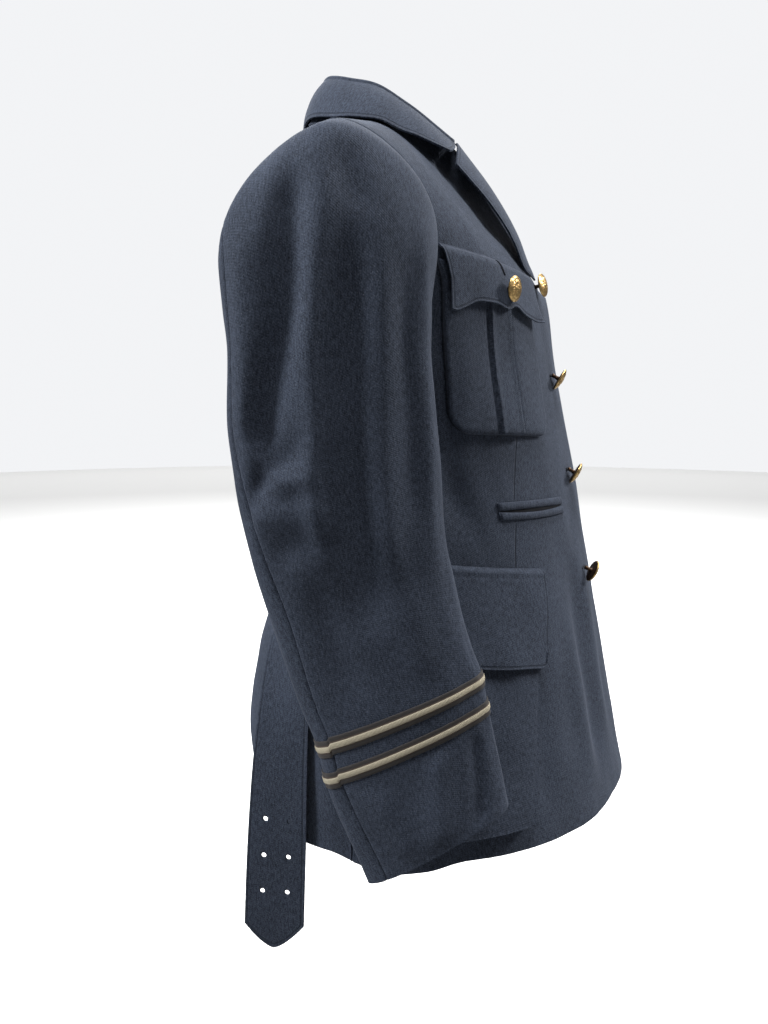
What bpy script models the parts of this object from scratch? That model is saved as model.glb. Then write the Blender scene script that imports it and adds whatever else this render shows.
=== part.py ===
"""Pilot uniform jacket: a belted wool service tunic in its worn form.

Sizes are in millimetres and become metres where a mesh is made. A point of the
cloth is (q, forward, height): q is the distance from the centre plane towards the
side that is built, forward points where the wearer looks, and height counts up from
the neck points, where the wearer's shoulders hold the jacket. In the scene the
wearer looks along -Y and the wearer's right side is at -X.
"""

from collections import namedtuple
from functools import lru_cache
from math import acos, cos, pi, radians, sin, sqrt

import bmesh
import bpy
import numpy as np
from mathutils import Matrix, Vector
from mathutils.kdtree import KDTree

MM = 0.001
RIGHT = -1
LEFT = 1
SIDE_NAMES = {RIGHT: "right", LEFT: "left"}

# Cloth
WALL = 2.0
TRIM_WALL = 1.6
BRAID_WALL = 1.0
SEAM_HALF_GAP = 0.2
SEAM_REACH = 14.0
LAY_GAP = 0.7

# Body
HEM = -732.0
ARMPIT = -224.0
BREAK = -168.0
NECK_HALF = 75.0
SHOULDER_SLOPE = 35.0 / 140.0
BACK_NECK_DROP = 5.4
FRONT_TURN = 100.0
OVERLAP = 16.0
UNDER_SET_BACK = 8.0
PROW = 16.0
PROW_WIDTH = 90.0
HEM_CORNER = 12.0
HEM_DROP = ((0, 0), (310, 0), (350, 9), (385, 13), (420, 6), (450, 0), (600, 0))
HEM_DROP_LEVELS = (-732, -588)
ROLL_SPREAD = 50.0

BodyRing = namedtuple("BodyRing", "height half_width front side back front_power back_power")
BODY = [
    BodyRing(-732, 215, 289, 40, -152, 1.85, 2.1),
    BodyRing(-660, 206, 273, 35, -154, 1.85, 2.1),
    BodyRing(-560, 190, 254, 25, -140, 1.85, 2.1),
    BodyRing(-500, 177, 243, 18, -126, 1.85, 2.1),
    BodyRing(-440, 168, 231, 12, -116, 1.85, 2.1),
    BodyRing(-380, 168, 220, 4, -118, 1.85, 2.1),
    BodyRing(-300, 177, 203, -8, -129, 1.85, 2.2),
    BodyRing(-224, 188, 189, -24, -139, 1.85, 2.4),
    BodyRing(-165, 197, 179, -28, -138, 1.85, 2.6),
    BodyRing(-130, 203, 158, -30, -132, 1.85, 2.6),
    BodyRing(-100, 212, 129, -30, -122, 1.85, 2.6),
    BodyRing(-48, 232, 93, -26, -101, 1.85, 2.4),
    BodyRing(0, 255, 70, -20, -84, 1.85, 2.2),
    BodyRing(25, 265, 60, -18, -74, 1.85, 2.2),
]

SeamRow = namedtuple("SeamRow", "height behind_side")
SIDE_SEAM = [
    SeamRow(-732, 74),
    SeamRow(-440, 58),
    SeamRow(-300, 30),
    SeamRow(-224, 0),
]

RollRow = namedtuple("RollRow", "height q forward")
ROLL = [
    RollRow(-168, -16, 186),
    RollRow(-160, -9, 174),
    RollRow(-150, -4, 167),
    RollRow(-130, 4, 156),
    RollRow(-89, 20, 129),
    RollRow(-48, 38, 100),
    RollRow(-17, 55, 67),
    RollRow(-9, 64, 46),
    RollRow(-4, 70, 24),
    RollRow(-1, 74, 3),
    RollRow(0, 75, -15),
]

# Rows of the panels' grids: levels below the armpit, then shares of the way up the armhole
LEVELS = (-732, -729, -720, -692, -640, -588, -536, -484, -436, -396, -340, -282, -224)
FRONT_UPS = (0.085, 0.17, 0.28, 0.39, 0.5, 0.61, 0.72, 0.8, 0.9, 1.0)
BACK_UPS = (0.15, 0.3, 0.45, 0.6, 0.74, 0.83, 0.91, 1.0)
FRONT_CELLS = (13, len(LEVELS) + len(FRONT_UPS) - 1)
BACK_CELLS = (9, len(LEVELS) + len(BACK_UPS) - 1)
EDGE_TO_BREAK = 0.17
ROLL_TO_NECK = 0.72
CENTRE_TO_NECK = 0.74

# Armhole, seen from the side
ARMHOLE_CENTRE = -129.5
ARMHOLE_HALF_HEIGHT = 94.5
ARMHOLE_FORWARD = -24.0
ARMHOLE_TOP_SHIFT = -17.0
ARMHOLE_HALF_DEPTH = 71.0
ARMHOLE_GAP = 2.8

SleeveRing = namedtuple("SleeveRing", "along back front inner outer middle tilt rise")
SLEEVE = [
    SleeveRing(0, -95, 47, 186, 216, -129.5, 0, 94.5),
    SleeveRing(22, -127, 49, 188, 237, -139, 0, 93),
    SleeveRing(60, -147, 46, 190, 252, -164, 0, 75),
    SleeveRing(105, -144, 42, 191, 259, -197, 2, 48),
    SleeveRing(150, -140, 42, 191, 261, -236, 5, 22),
    SleeveRing(205, -141, 46, 191, 261, -290, 8, 6),
    SleeveRing(258, -136, 51, 191, 261, -341, 11, 0),
    SleeveRing(325, -122, 55, 193, 261, -408, 16, 0),
    SleeveRing(392, -101, 66, 198, 262, -472, 22, 0),
    SleeveRing(458, -78, 81, 207, 265, -535, 28, 0),
    SleeveRing(490, -63, 91, 213, 268, -566, 33, 0),
    SleeveRing(518, -56, 96, 217, 270, -593, 35, 0),
    SleeveRing(620, -15, 115, 228, 280, -688, 38, 0),
]
SLEEVE_LENGTH = 620.0
SLEEVE_POWER = 2.3
HEAD_BLEND = 100.0
FORE_SEAM = -35.0
SLEEVE_SEAM_GAP = 0.36

BackSeamRow = namedtuple("BackSeamRow", "along angle")
BACK_SEAM = [
    BackSeamRow(0, 158),
    BackSeamRow(205, 160),
    BackSeamRow(300, 148),
    BackSeamRow(392, 139),
    BackSeamRow(490, 142),
    BackSeamRow(620, 134),
]
BRAID_PLACES = {"upper": 490.0, "lower": 518.0}
BRAID_WIDTH = 15.0
TOP_CELLS = (12, 17)
UNDER_CELLS = (9, 17)
BRAID_CELLS = (TOP_CELLS[0] + UNDER_CELLS[0], 1)

# Collar and lapels
CollarRow = namedtuple("CollarRow", "share fold_q fold_f fold_h edge_q edge_f edge_h swell_f swell_h")
COLLAR = [
    CollarRow(0.0, 0, -63, 59, 0, -89, 12, -4, 3),
    CollarRow(0.2, 34, -55, 56, 50, -80, 8, -3, 3),
    CollarRow(0.4, 57, -33, 47, 92, -48, 1, -1, 4),
    CollarRow(0.6, 67, -6, 38, 112, -6, -8, 1, 4),
    CollarRow(0.8, 66, 26, 19, 115, 28, -22, 3, 2),
    CollarRow(1.0, 53, 74, -12, 104, 66, -35, 3, -2),
]
FOLD_RADIUS = 3.6
COLLAR_CELLS = (24, 11)
LAPEL_CELLS = (10, 4)
LAPEL_LIFT = 1.1
COLLAR_SEAM_LIFT = 0.6

LapelRow = namedtuple("LapelRow", "share roll_q roll_f roll_h edge_q edge_f edge_h swell lift")
LAPEL = [
    LapelRow(0.0, -1, 166.5, -147, 10, 166, -151, 0, 0),
    LapelRow(0.15, 4, 158, -134, 44, 152, -147, 3, 0),
    LapelRow(0.45, 18, 136, -94, 70, 135, -122, 5, 0),
    LapelRow(0.75, 36, 108, -54, 87, 107, -84, 5, 0),
    LapelRow(1.0, 52, 74, -18, 104, 69, -48, 1, 5),
]

# Chest pocket, lower pocket and slit, as distances round the body from the centre front
CHEST_FRONT = 75.0
CHEST_REAR = 221.0
CHEST_TOP = -150.0
CHEST_BOTTOM = -314.0
CHEST_TILT = 0.06
CHEST_CORNER = 24.0
CHEST_POCKET_CELLS = (14, 8)
CHEST_FLAP_TILT = 0.12
CHEST_FLAP_FRONT = 72.0
CHEST_FLAP_REAR = 211.0
CHEST_FLAP_SPREAD = 6.0
CHEST_FLAP_FLARE = 3.0
CHEST_FLAP_STEPS = (0, 0.16, 0.42, 0.7, 1)
EDGE_TURN = 1.2
PLEAT_HALF = 16.0
PLEAT_RISE = 2.6
CHEST_FLAP_TOP = -134.0
FlapRow = namedtuple("FlapRow", "share length")
CHEST_FLAP = [
    FlapRow(0.0, 51),
    FlapRow(0.1, 53),
    FlapRow(0.25, 51),
    FlapRow(0.4, 45),
    FlapRow(0.5, 50),
    FlapRow(0.62, 47),
    FlapRow(0.75, 48),
    FlapRow(0.9, 57),
    FlapRow(0.97, 61),
    FlapRow(1.0, 60),
]
PocketRow = namedtuple("PocketRow", "height front rear tilt")
LOWER_POCKET = [
    PocketRow(-715, 232, 404, -0.044),
    PocketRow(-556, 179, 344, 0.13),
    PocketRow(-458, 138, 300, 0.13),
    PocketRow(-440, 134, 292, 0.13),
]
LOWER_POCKET_CELLS = (9, 8)
LOWER_TOP = -450.0
LOWER_BOTTOM = -715.0
LOWER_FLAP_TOP = -437.0
LOWER_FLAP_LENGTH = 98.0
LOWER_FLAP_STEPS = (0, 0.1, 0.4, 0.7, 1)
SLIT_HEIGHT = -397.5
SLIT_FRONT = 62.0
SLIT_LENGTH = 114.0
SLIT_GAP = 0.8
SLIT_TILT = -0.03
LIP_SAG = 2.4
LIP_HEIGHT = 8.6
LIP_RISE = 1.0

# Buttons
SHANK_RADIUS = 2.4
BUTTON_GAP = 0.5
BUTTON_SIDES = 12
BUTTON_HEAD = ((10.8, 0.6), (12.75, 1.8), (12.3, 3.0), (7.5, 4.9), (0, 5.9))
FRONT_SHANK = 8.0
CHEST_SHANK = 5.0
ButtonRow = namedtuple("ButtonRow", "height around droop turn sink")
FRONT_BUTTONS = [
    ButtonRow(-161, 34, -10, 6, 2.2),
    ButtonRow(-256, 23, 30, -15, 0),
    ButtonRow(-361, 23, 30, -15, 0),
    ButtonRow(-474, 31, 26, -28, 0),
]
CHEST_BUTTON_AROUND = 141.0
CHEST_BUTTON_DROP = 30.0

# Belt
BELT_WIDTH = 62.0
BELT_HEIGHT = -436.0
BELT_FOLD = 98.0
BELT_OUT = 3.7
BELT_END = -842.0
BELT_POINT = 26.0
BUCKLE_END = -760.0
HangRow = namedtuple("HangRow", "height q forward turn")
HANG = [
    HangRow(-842, 182, -114, 6),
    HangRow(-760, 179, -111, 9),
    HangRow(-660, 170, -107, 20),
    HangRow(-560, 152, -100, 36),
    HangRow(-400, 128, -90, 50),
]
HANG_FROM = -480.0
HANG_TO = -610.0
HOLE_RADIUS = 2.6
HOLE_COLUMN = 13.0
HOLE_ROWS = (-707.0, -744.0, -781.0)
BUCKLE_WIDTH = 76.0
BUCKLE_DEPTH = 46.0
BUCKLE_WIRE = 2.2
BUCKLE_GAP = 0.3
PRONG_RADIUS = 1.5
PRONG_LEAN = 0.06

# A point inside the body, in metres, that the cloth faces away from
BODY_INSIDE = (0, -0.05, -0.35)

Finish = namedtuple("Finish", "colour roughness metallic")
FINISHES = {
    "wool": Finish((0.055, 0.075, 0.115), 0.9, 0.0),
    "braid": Finish((0.035, 0.026, 0.022), 0.85, 0.0),
    "brass": Finish((0.62, 0.42, 0.16), 0.35, 1.0),
}


class Curve:
    """A smooth curve through the rows of a table, without overshoot."""

    def __init__(self, keys, values):
        self.keys = np.array(keys, float)
        self.values = np.array(values, float)
        steps = np.diff(self.keys)
        grades = np.diff(self.values) / steps
        self.slopes = np.zeros(len(self.keys))
        self.slopes[0] = grades[0]
        self.slopes[-1] = grades[-1]
        for i in range(1, len(grades)):
            if grades[i - 1] * grades[i] > 0:
                first = 2 * steps[i] + steps[i - 1]
                second = steps[i] + 2 * steps[i - 1]
                mean = first / grades[i - 1] + second / grades[i]
                self.slopes[i] = (first + second) / mean

    def __call__(self, key):
        key = np.clip(key, self.keys[0], self.keys[-1])
        i = np.clip(np.searchsorted(self.keys, key) - 1, 0, len(self.keys) - 2)
        step = self.keys[i + 1] - self.keys[i]
        t = (key - self.keys[i]) / step
        start = (1 + 2 * t) * (1 - t) ** 2 * self.values[i]
        end = t * t * (3 - 2 * t) * self.values[i + 1]
        leave = t * (1 - t) ** 2 * step * self.slopes[i]
        arrive = t * t * (t - 1) * step * self.slopes[i + 1]
        return start + end + leave + arrive


def curves(table):
    """A curve for each column of a table, over its first column."""
    names = table[0]._fields
    rows = sorted(table)
    keys = [row[0] for row in rows]
    return {name: Curve(keys, [getattr(row, name) for row in rows]) for name in names[1:]}


BODY_AT = curves(BODY)
SEAM_AT = curves(SIDE_SEAM)
ROLL_AT = curves(ROLL)
SLEEVE_AT = curves(SLEEVE)
BACK_SEAM_AT = curves(BACK_SEAM)
COLLAR_AT = curves(COLLAR)
LAPEL_AT = curves(LAPEL)
LOWER_AT = curves(LOWER_POCKET)
CHEST_FLAP_AT = curves(CHEST_FLAP)
HANG_AT = curves(HANG)
HEM_DROP_AT = Curve(*zip(*HEM_DROP))
SHOULDER_FORWARD = Curve((0, 75, 215, 260), (-2, -15, -41, -50))


def smooth(value):
    """A soft step from 0 to 1."""
    value = np.clip(value, 0.0, 1.0)
    return value * value * (3 - 2 * value)


def turn_over(share, power):
    """How far the cloth has come forward or back, a share of the way below the ridge."""
    share = np.clip(share, 0.0, 1.0)
    return (1 - (1 - share) ** power) ** (1 / power)


def shoulder_height(q):
    return SHOULDER_SLOPE * (NECK_HALF - q)


def bare_front(q, height):
    """Forward place of the front before the lapel roll lifts it."""
    half = BODY_AT["half_width"](height)
    side = BODY_AT["side"](height)
    front = BODY_AT["front"](height)
    power = BODY_AT["front_power"](height)
    out = np.maximum(q, 0.0)
    round_part = np.clip(1 - (out / half) ** power, 0, 1) ** (1 / power)
    prow = PROW * np.clip(1 - out / PROW_WIDTH, 0, 1) ** 2
    past_centre = np.maximum(-q, 0.0) * 2 * PROW / PROW_WIDTH
    full = side + (front - PROW - side) * round_part + prow + past_centre
    ridge = SHOULDER_FORWARD(out)
    below = shoulder_height(q) - height
    return ridge + (full - ridge) * turn_over(below / FRONT_TURN, 2)


def front_forward(q, height, side_sign=RIGHT):
    """Forward place of a front. The left front passes under the right one."""
    q = np.asarray(q, float)
    height = np.asarray(height, float)
    roll_q = ROLL_AT["q"](height)
    rise = ROLL_AT["forward"](height) - bare_front(roll_q, height)
    away = np.clip(1 - np.maximum(q - roll_q, 0) / ROLL_SPREAD, 0, 1) ** 2
    lifted = np.where(height > BREAK, rise * away, 0.0)
    if side_sign == LEFT:
        flat = bare_front(np.abs(q), height)
        near = 1 - smooth((np.abs(q) - 15) / 75)
        low = 1 - smooth((height + 110) / 60)
        return flat + lifted - UNDER_SET_BACK * near * low
    return bare_front(q, height) + lifted


def back_forward(q, height):
    """Forward place of a back half."""
    half = BODY_AT["half_width"](height)
    side = BODY_AT["side"](height)
    back = BODY_AT["back"](height)
    power = BODY_AT["back_power"](height)
    full = side + (back - side) * np.clip(1 - (q / half) ** power, 0, 1) ** (1 / power)
    ridge = SHOULDER_FORWARD(q)
    below = shoulder_height(q) - height
    depth = 8 + 70 * smooth((q - 40) / 130)
    return ridge + (full - ridge) * turn_over(below / depth, 2.5)


@lru_cache(maxsize=None)
def half_ring(height, side_sign):
    """The level section of one side from past the centre front to the centre back."""
    half = float(BODY_AT["half_width"](height))
    steps = np.linspace(0, 1, 61)
    front_q = np.concatenate([np.linspace(-OVERLAP - 4, 0, 8)[:-1], half * np.sin(steps * pi / 2)])
    heights = np.full(len(front_q), height)
    front_f = front_forward(front_q, heights, side_sign)
    power = float(BODY_AT["back_power"](height))
    side = float(BODY_AT["side"](height))
    back = float(BODY_AT["back"](height))
    angles = steps[1:] * pi / 2
    back_q = half * np.cos(angles) ** (2 / power)
    back_f = side + (back - side) * np.sin(angles) ** (2 / power)
    q = np.concatenate([front_q, back_q])
    f = np.concatenate([front_f, back_f])
    lengths = np.concatenate([[0], np.cumsum(np.hypot(np.diff(q), np.diff(f)))])
    lengths -= lengths[7]
    return q, f, lengths, lengths[67]


def level_point(around, height, side_sign):
    """Point of a level section at a distance round it from the centre front."""
    q, f, lengths, _ = half_ring(round(float(height), 3), side_sign)
    return np.array([np.interp(around, lengths, q), np.interp(around, lengths, f), height])


def ring_point(around, height, side_sign):
    """Point of the body's cloth, which is flat between its grid's levels."""
    if not LEVELS[0] < height < ARMPIT:
        return level_point(around, height, side_sign)
    above = next(level for level in LEVELS if level > height)
    below = LEVELS[LEVELS.index(above) - 1]
    share = (height - below) / (above - below)
    low = level_point(around, below, side_sign)
    return low + (level_point(around, above, side_sign) - low) * share


def ring_normal(around, height, side_sign):
    """Outward direction of the body's cloth."""
    step = 3.0
    along = ring_point(around + step, height, side_sign) - ring_point(around - step, height, side_sign)
    up = ring_point(around, height + step, side_sign) - ring_point(around, height - step, side_sign)
    normal = np.cross(up, along)
    return normal / np.linalg.norm(normal)


def laid(around, height, out, side_sign):
    """Point that lies on the body's cloth, moved out by a distance."""
    base = ring_point(around, height, side_sign)
    return base + out * ring_normal(around, height, side_sign)


def seam_around(height, side_sign):
    """Distance of the side seam from the centre front."""
    widest = half_ring(round(float(height), 3), side_sign)[3]
    return widest + float(SEAM_AT["behind_side"](height))


@lru_cache(maxsize=None)
def armhole(angle):
    """Armhole edge: 0 is its foremost point, 90 the shoulder tip, 270 the armpit."""
    turn = radians(angle)
    height = ARMHOLE_CENTRE + ARMHOLE_HALF_HEIGHT * sin(turn)
    centre = ARMHOLE_FORWARD + ARMHOLE_TOP_SHIFT * max(0.0, sin(turn)) ** 2
    forward = centre + ARMHOLE_HALF_DEPTH * cos(turn)
    place = front_forward if cos(turn) >= 0 else back_forward
    low = 100.0
    high = min(float(BODY_AT["half_width"](height)), NECK_HALF - height / SHOULDER_SLOPE)
    for _ in range(40):
        middle = (low + high) / 2
        gap = float(place(middle, height)) - forward
        if gap * cos(turn) > 0 or (cos(turn) == 0 and gap > 0):
            low = middle
        else:
            high = middle
    return np.array([(low + high) / 2, forward, height])


def hem_inset(height):
    """How far the front edge is rounded back just above the hem."""
    above = height - HEM
    if above >= HEM_CORNER:
        return 0.0
    return HEM_CORNER - sqrt(HEM_CORNER**2 - (HEM_CORNER - above) ** 2)


def level_heights(height, places):
    """Heights along a level row. The hem hangs lower beside the hips."""
    bottom, top = HEM_DROP_LEVELS
    weight = float(smooth((top - height) / (top - bottom)))
    return height - weight * HEM_DROP_AT(places)


def resample(q, f, h, shares):
    """Points of a row at shares of its length, clear of the seams at both ends."""
    steps = np.sqrt(np.diff(q) ** 2 + np.diff(f) ** 2 + np.diff(h) ** 2)
    lengths = np.concatenate([[0], np.cumsum(steps)])
    wanted = SEAM_HALF_GAP + shares * (lengths[-1] - 2 * SEAM_HALF_GAP)
    return np.stack([np.interp(wanted, lengths, line) for line in (q, f, h)], axis=-1)


@lru_cache(maxsize=None)
def front_row(row, side_sign):
    """One row of a front, from its edge or roll line to the side seam or armhole."""
    if row < len(LEVELS):
        height = float(LEVELS[row])
        start = -OVERLAP + hem_inset(height)
        q, f, lengths, _ = half_ring(height, side_sign)
        first = float(np.interp(start, q[:67], lengths[:67]))
        places = np.linspace(first, seam_around(height, side_sign), 90)
        return [np.interp(places, lengths, line) for line in (q, f)] + [level_heights(height, places)]
    up = FRONT_UPS[row - len(LEVELS)]
    outer = armhole(round(-90 + 180 * up, 4))
    if up < EDGE_TO_BREAK:
        inner_q = -OVERLAP
        inner_h = ARMPIT + (BREAK - ARMPIT) * up / EDGE_TO_BREAK
    elif up < ROLL_TO_NECK:
        passed = (up - EDGE_TO_BREAK) / (ROLL_TO_NECK - EDGE_TO_BREAK)
        inner_h = BREAK + (ROLL[6].height - BREAK) * passed
        inner_q = float(ROLL_AT["q"](inner_h))
    else:
        left_over = (1 - up) / (1 - ROLL_TO_NECK)
        inner_h = ROLL[6].height * left_over**2
        inner_q = float(ROLL_AT["q"](inner_h))
    steps = np.sin(np.linspace(0, pi / 2, 90))
    q = inner_q + (outer[0] - inner_q) * steps
    h = inner_h + (outer[2] - inner_h) * steps
    h = np.minimum(h, shoulder_height(q))
    f = front_forward(q, h, side_sign)
    fit = (outer[1] - f[-1]) * smooth((steps - 0.6) / 0.4)
    near_ridge = SEAM_HALF_GAP * np.clip(1 - (shoulder_height(q) - h) / 5, 0, 1)
    return q, f + fit + near_ridge, h


@lru_cache(maxsize=None)
def back_row(row, side_sign):
    """One row of a back half, from the centre seam to the side seam or armhole."""
    if row < len(LEVELS):
        height = float(LEVELS[row])
        q, f, lengths, _ = half_ring(height, side_sign)
        places = np.linspace(lengths[-1], seam_around(height, side_sign), 90)
        return [np.interp(places, lengths, line) for line in (q, f)] + [level_heights(height, places)]
    up = BACK_UPS[row - len(LEVELS)]
    outer = armhole(round(270 - 180 * up, 4))
    if up < CENTRE_TO_NECK:
        inner_q = 0.0
        top = shoulder_height(0) - BACK_NECK_DROP
        inner_h = ARMPIT + (top - ARMPIT) * up / CENTRE_TO_NECK
    else:
        inner_q = NECK_HALF * (up - CENTRE_TO_NECK) / (1 - CENTRE_TO_NECK)
        inner_h = shoulder_height(inner_q) - BACK_NECK_DROP * (1 - (inner_q / NECK_HALF) ** 3)
    steps = np.sin(np.linspace(0, pi / 2, 90))
    q = inner_q + (outer[0] - inner_q) * steps
    h = inner_h + (outer[2] - inner_h) * steps
    h = np.minimum(h, shoulder_height(q))
    f = back_forward(q, h)
    fit = (outer[1] - f[-1]) * smooth((steps - 0.6) / 0.4)
    near_ridge = SEAM_HALF_GAP * np.clip(1 - (shoulder_height(q) - h) / 5, 0, 1)
    return q, f + fit - near_ridge, h


def front_place(u, v, side_sign):
    return resample(*front_row(round(v * FRONT_CELLS[1]), side_sign), u)


def back_place(u, v, side_sign):
    return resample(*back_row(round(v * BACK_CELLS[1]), side_sign), u)


def rounded(value, power):
    return np.sign(value) * np.abs(value) ** (2 / power)


def sleeve_point(along, angle):
    """Point of the sleeve: angle 0 is its front, 90 its outer side, 180 its back."""
    ring = {name: float(curve(along)) for name, curve in SLEEVE_AT.items()}
    across = rounded(cos(radians(angle)), SLEEVE_POWER)
    out = rounded(sin(radians(angle)), SLEEVE_POWER)
    point = np.array(
        [
            (ring["inner"] + ring["outer"]) / 2 + (ring["outer"] - ring["inner"]) / 2 * out,
            (ring["back"] + ring["front"]) / 2 + (ring["front"] - ring["back"]) / 2 * across,
            ring["middle"] + ring["tilt"] * across + ring["rise"] * out,
        ]
    )
    if along < HEAD_BLEND:
        start = SLEEVE[0]
        first = np.array(
            [
                (start.inner + start.outer) / 2 + (start.outer - start.inner) / 2 * out,
                (start.back + start.front) / 2 + (start.front - start.back) / 2 * across,
                start.middle + start.rise * out,
            ]
        )
        edge = armhole(round(angle % 360, 4)) + np.array([ARMHOLE_GAP, 0, 0])
        point = point + (edge - first) * (1 - along / HEAD_BLEND) ** 2
    return point


def sleeve_angle(along, column):
    """Angle of a grid column: the top sleeve's columns come first, then the under sleeve's."""
    back_seam = float(BACK_SEAM_AT["angle"](along))
    if column <= TOP_CELLS[0]:
        return FORE_SEAM + (back_seam - FORE_SEAM) * column / TOP_CELLS[0]
    return back_seam + (360 + FORE_SEAM - back_seam) * (column - TOP_CELLS[0]) / UNDER_CELLS[0]


def sleeve_facet(along, column):
    """Point of the sleeve's cloth, which is straight between its grid's rows."""
    step = SLEEVE_LENGTH / TOP_CELLS[1]
    row = int(along // step)
    share = along / step - row
    low = sleeve_point(row * step, sleeve_angle(row * step, column))
    return low + (sleeve_point((row + 1) * step, sleeve_angle((row + 1) * step, column)) - low) * share


def sleeve_laid(along, column, out):
    """Point that lies on the sleeve, moved out by a distance."""
    columns = TOP_CELLS[0] + UNDER_CELLS[0]
    down = sleeve_facet(along + 3, column) - sleeve_facet(along - 3, column)
    round_way = sleeve_facet(along, (column + 1) % columns) - sleeve_facet(along, (column - 1) % columns)
    normal = np.cross(round_way, down)
    return sleeve_facet(along, column) + out * normal / np.linalg.norm(normal)


def clear_workspace():
    for thing in list(bpy.data.objects):
        bpy.data.objects.remove(thing, do_unlink=True)


def finish_material(kind, name):
    """A plain material of one of the jacket's finishes."""
    finish = FINISHES[kind]
    material = bpy.data.materials.new(name)
    material.use_nodes = True
    shader = material.node_tree.nodes["Principled BSDF"]
    shader.inputs["Base Color"].default_value = (*finish.colour, 1)
    shader.inputs["Roughness"].default_value = finish.roughness
    shader.inputs["Metallic"].default_value = finish.metallic
    return material


def to_world(point, side_sign):
    return Vector((side_sign * point[0], -point[1], point[2])) * MM


def add_object(name, mesh_maker, kind):
    """Link an object whose mesh comes from a bmesh."""
    mesh = bpy.data.meshes.new(name)
    mesh_maker.to_mesh(mesh)
    mesh_maker.free()
    mesh.materials.append(finish_material(kind, name))
    mesh.shade_smooth()
    thing = bpy.data.objects.new(name, mesh)
    bpy.context.scene.collection.objects.link(thing)
    return thing


def grid(cells, place):
    """A grid whose points place gives for shares u and v."""
    maker = bmesh.new()
    bmesh.ops.create_grid(maker, x_segments=cells[0], y_segments=cells[1], size=1)
    for vertex in maker.verts:
        u = round((vertex.co.x + 1) / 2 * cells[0]) / cells[0]
        v = round((vertex.co.y + 1) / 2 * cells[1]) / cells[1]
        vertex.co = place(u, v)
    return maker


def walled(name, maker, wall, kind="wool"):
    """A cloth object: its outer face is the grid, and its wall goes inwards."""
    thing = add_object(name, maker, kind)
    shell = thing.modifiers.new("wall", "SOLIDIFY")
    shell.thickness = wall * MM
    shell.offset = -1
    return thing


def sheet(name, place, cells, wall, inside):
    """A cloth sheet whose outer face looks away from a world point, inside."""
    return walled(name, outward_grid(cells, place, inside), wall)


def one_side_sheet(name, place, cells, side):
    """A thin sheet of one side that faces out from the body."""
    sheet(name, lambda u, v: place(u, v, side), cells, TRIM_WALL, BODY_INSIDE)


def outward_grid(cells, place, inside):
    """A grid whose faces look away from a world point, inside."""
    maker = grid(cells, place)
    maker.normal_update()
    looks_out = 0.0
    for face in maker.faces:
        looks_out += face.normal.dot(face.calc_center_median() - Vector(inside)) * face.calc_area()
    if looks_out < 0:
        bmesh.ops.reverse_faces(maker, faces=maker.faces[:])
    return maker


def seam_directions(makers):
    """Outward directions of the panels' points. Panels that meet at a seam share theirs."""
    edge_points = []
    for number, maker in enumerate(makers):
        maker.normal_update()
        maker.verts.index_update()
        edge_points += [(number, vertex) for vertex in maker.verts if vertex.is_boundary]
    tree = KDTree(len(edge_points))
    for index, (_, vertex) in enumerate(edge_points):
        tree.insert(vertex.co, index)
    tree.balance()
    directions = [[vertex.normal.copy() for vertex in maker.verts] for maker in makers]
    for number, vertex in edge_points:
        for _, index, distance in tree.find_n(vertex.co, 16):
            if distance > SEAM_REACH * MM:
                break
            if edge_points[index][0] != number:
                shared = vertex.normal + edge_points[index][1].normal
                directions[number][vertex.index] = shared.normalized()
                break
    return directions


def give_wall(maker, directions, wall):
    """Close a grid into a solid: its points move inwards along their directions."""
    outer = maker.verts[:]
    faces = maker.faces[:]
    inner = [maker.verts.new(vertex.co - way * wall * MM) for vertex, way in zip(outer, directions)]
    partner = {vertex: inner[index] for index, vertex in enumerate(outer)}
    rims = [loop for face in faces for loop in face.loops if len(loop.edge.link_faces) == 1]
    rims = [(loop.vert, loop.link_loop_next.vert) for loop in rims]
    for face in faces:
        maker.faces.new([partner[vertex] for vertex in reversed(face.verts)])
    for start, end in rims:
        maker.faces.new((end, start, partner[start], partner[end]))


def panel_grids(side):
    """The four panels of one side: its front, its back and its two-piece sleeve."""

    def sleeve(columns):
        first, cells = columns

        def place(u, v):
            along = v * SLEEVE_LENGTH
            angle = sleeve_angle(along, first + u * cells[0])
            trim = SLEEVE_SEAM_GAP * (1 - 2 * u) if u in (0.0, 1.0) else 0.0
            return to_world(sleeve_point(along, angle + trim), side)

        maker = grid(cells, place)
        if side == LEFT:
            bmesh.ops.reverse_faces(maker, faces=maker.faces[:])
        return maker

    def body(cells, place):
        return outward_grid(cells, lambda u, v: to_world(place(u, v, side), side), BODY_INSIDE)

    return {
        "front": body(FRONT_CELLS, front_place),
        "back": body(BACK_CELLS, back_place),
        "sleeve_top": sleeve((0, TOP_CELLS)),
        "sleeve_under": sleeve((TOP_CELLS[0], UNDER_CELLS)),
    }


def make_panels():
    """Fronts, backs and sleeves, cut apart at the seams."""
    panels = {}
    for side in (RIGHT, LEFT):
        for name, maker in panel_grids(side).items():
            panels[f"{name}_{SIDE_NAMES[side]}"] = maker
    for (name, maker), ways in zip(panels.items(), seam_directions(list(panels.values()))):
        give_wall(maker, ways, WALL)
        add_object(name, maker, "wool")


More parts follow.
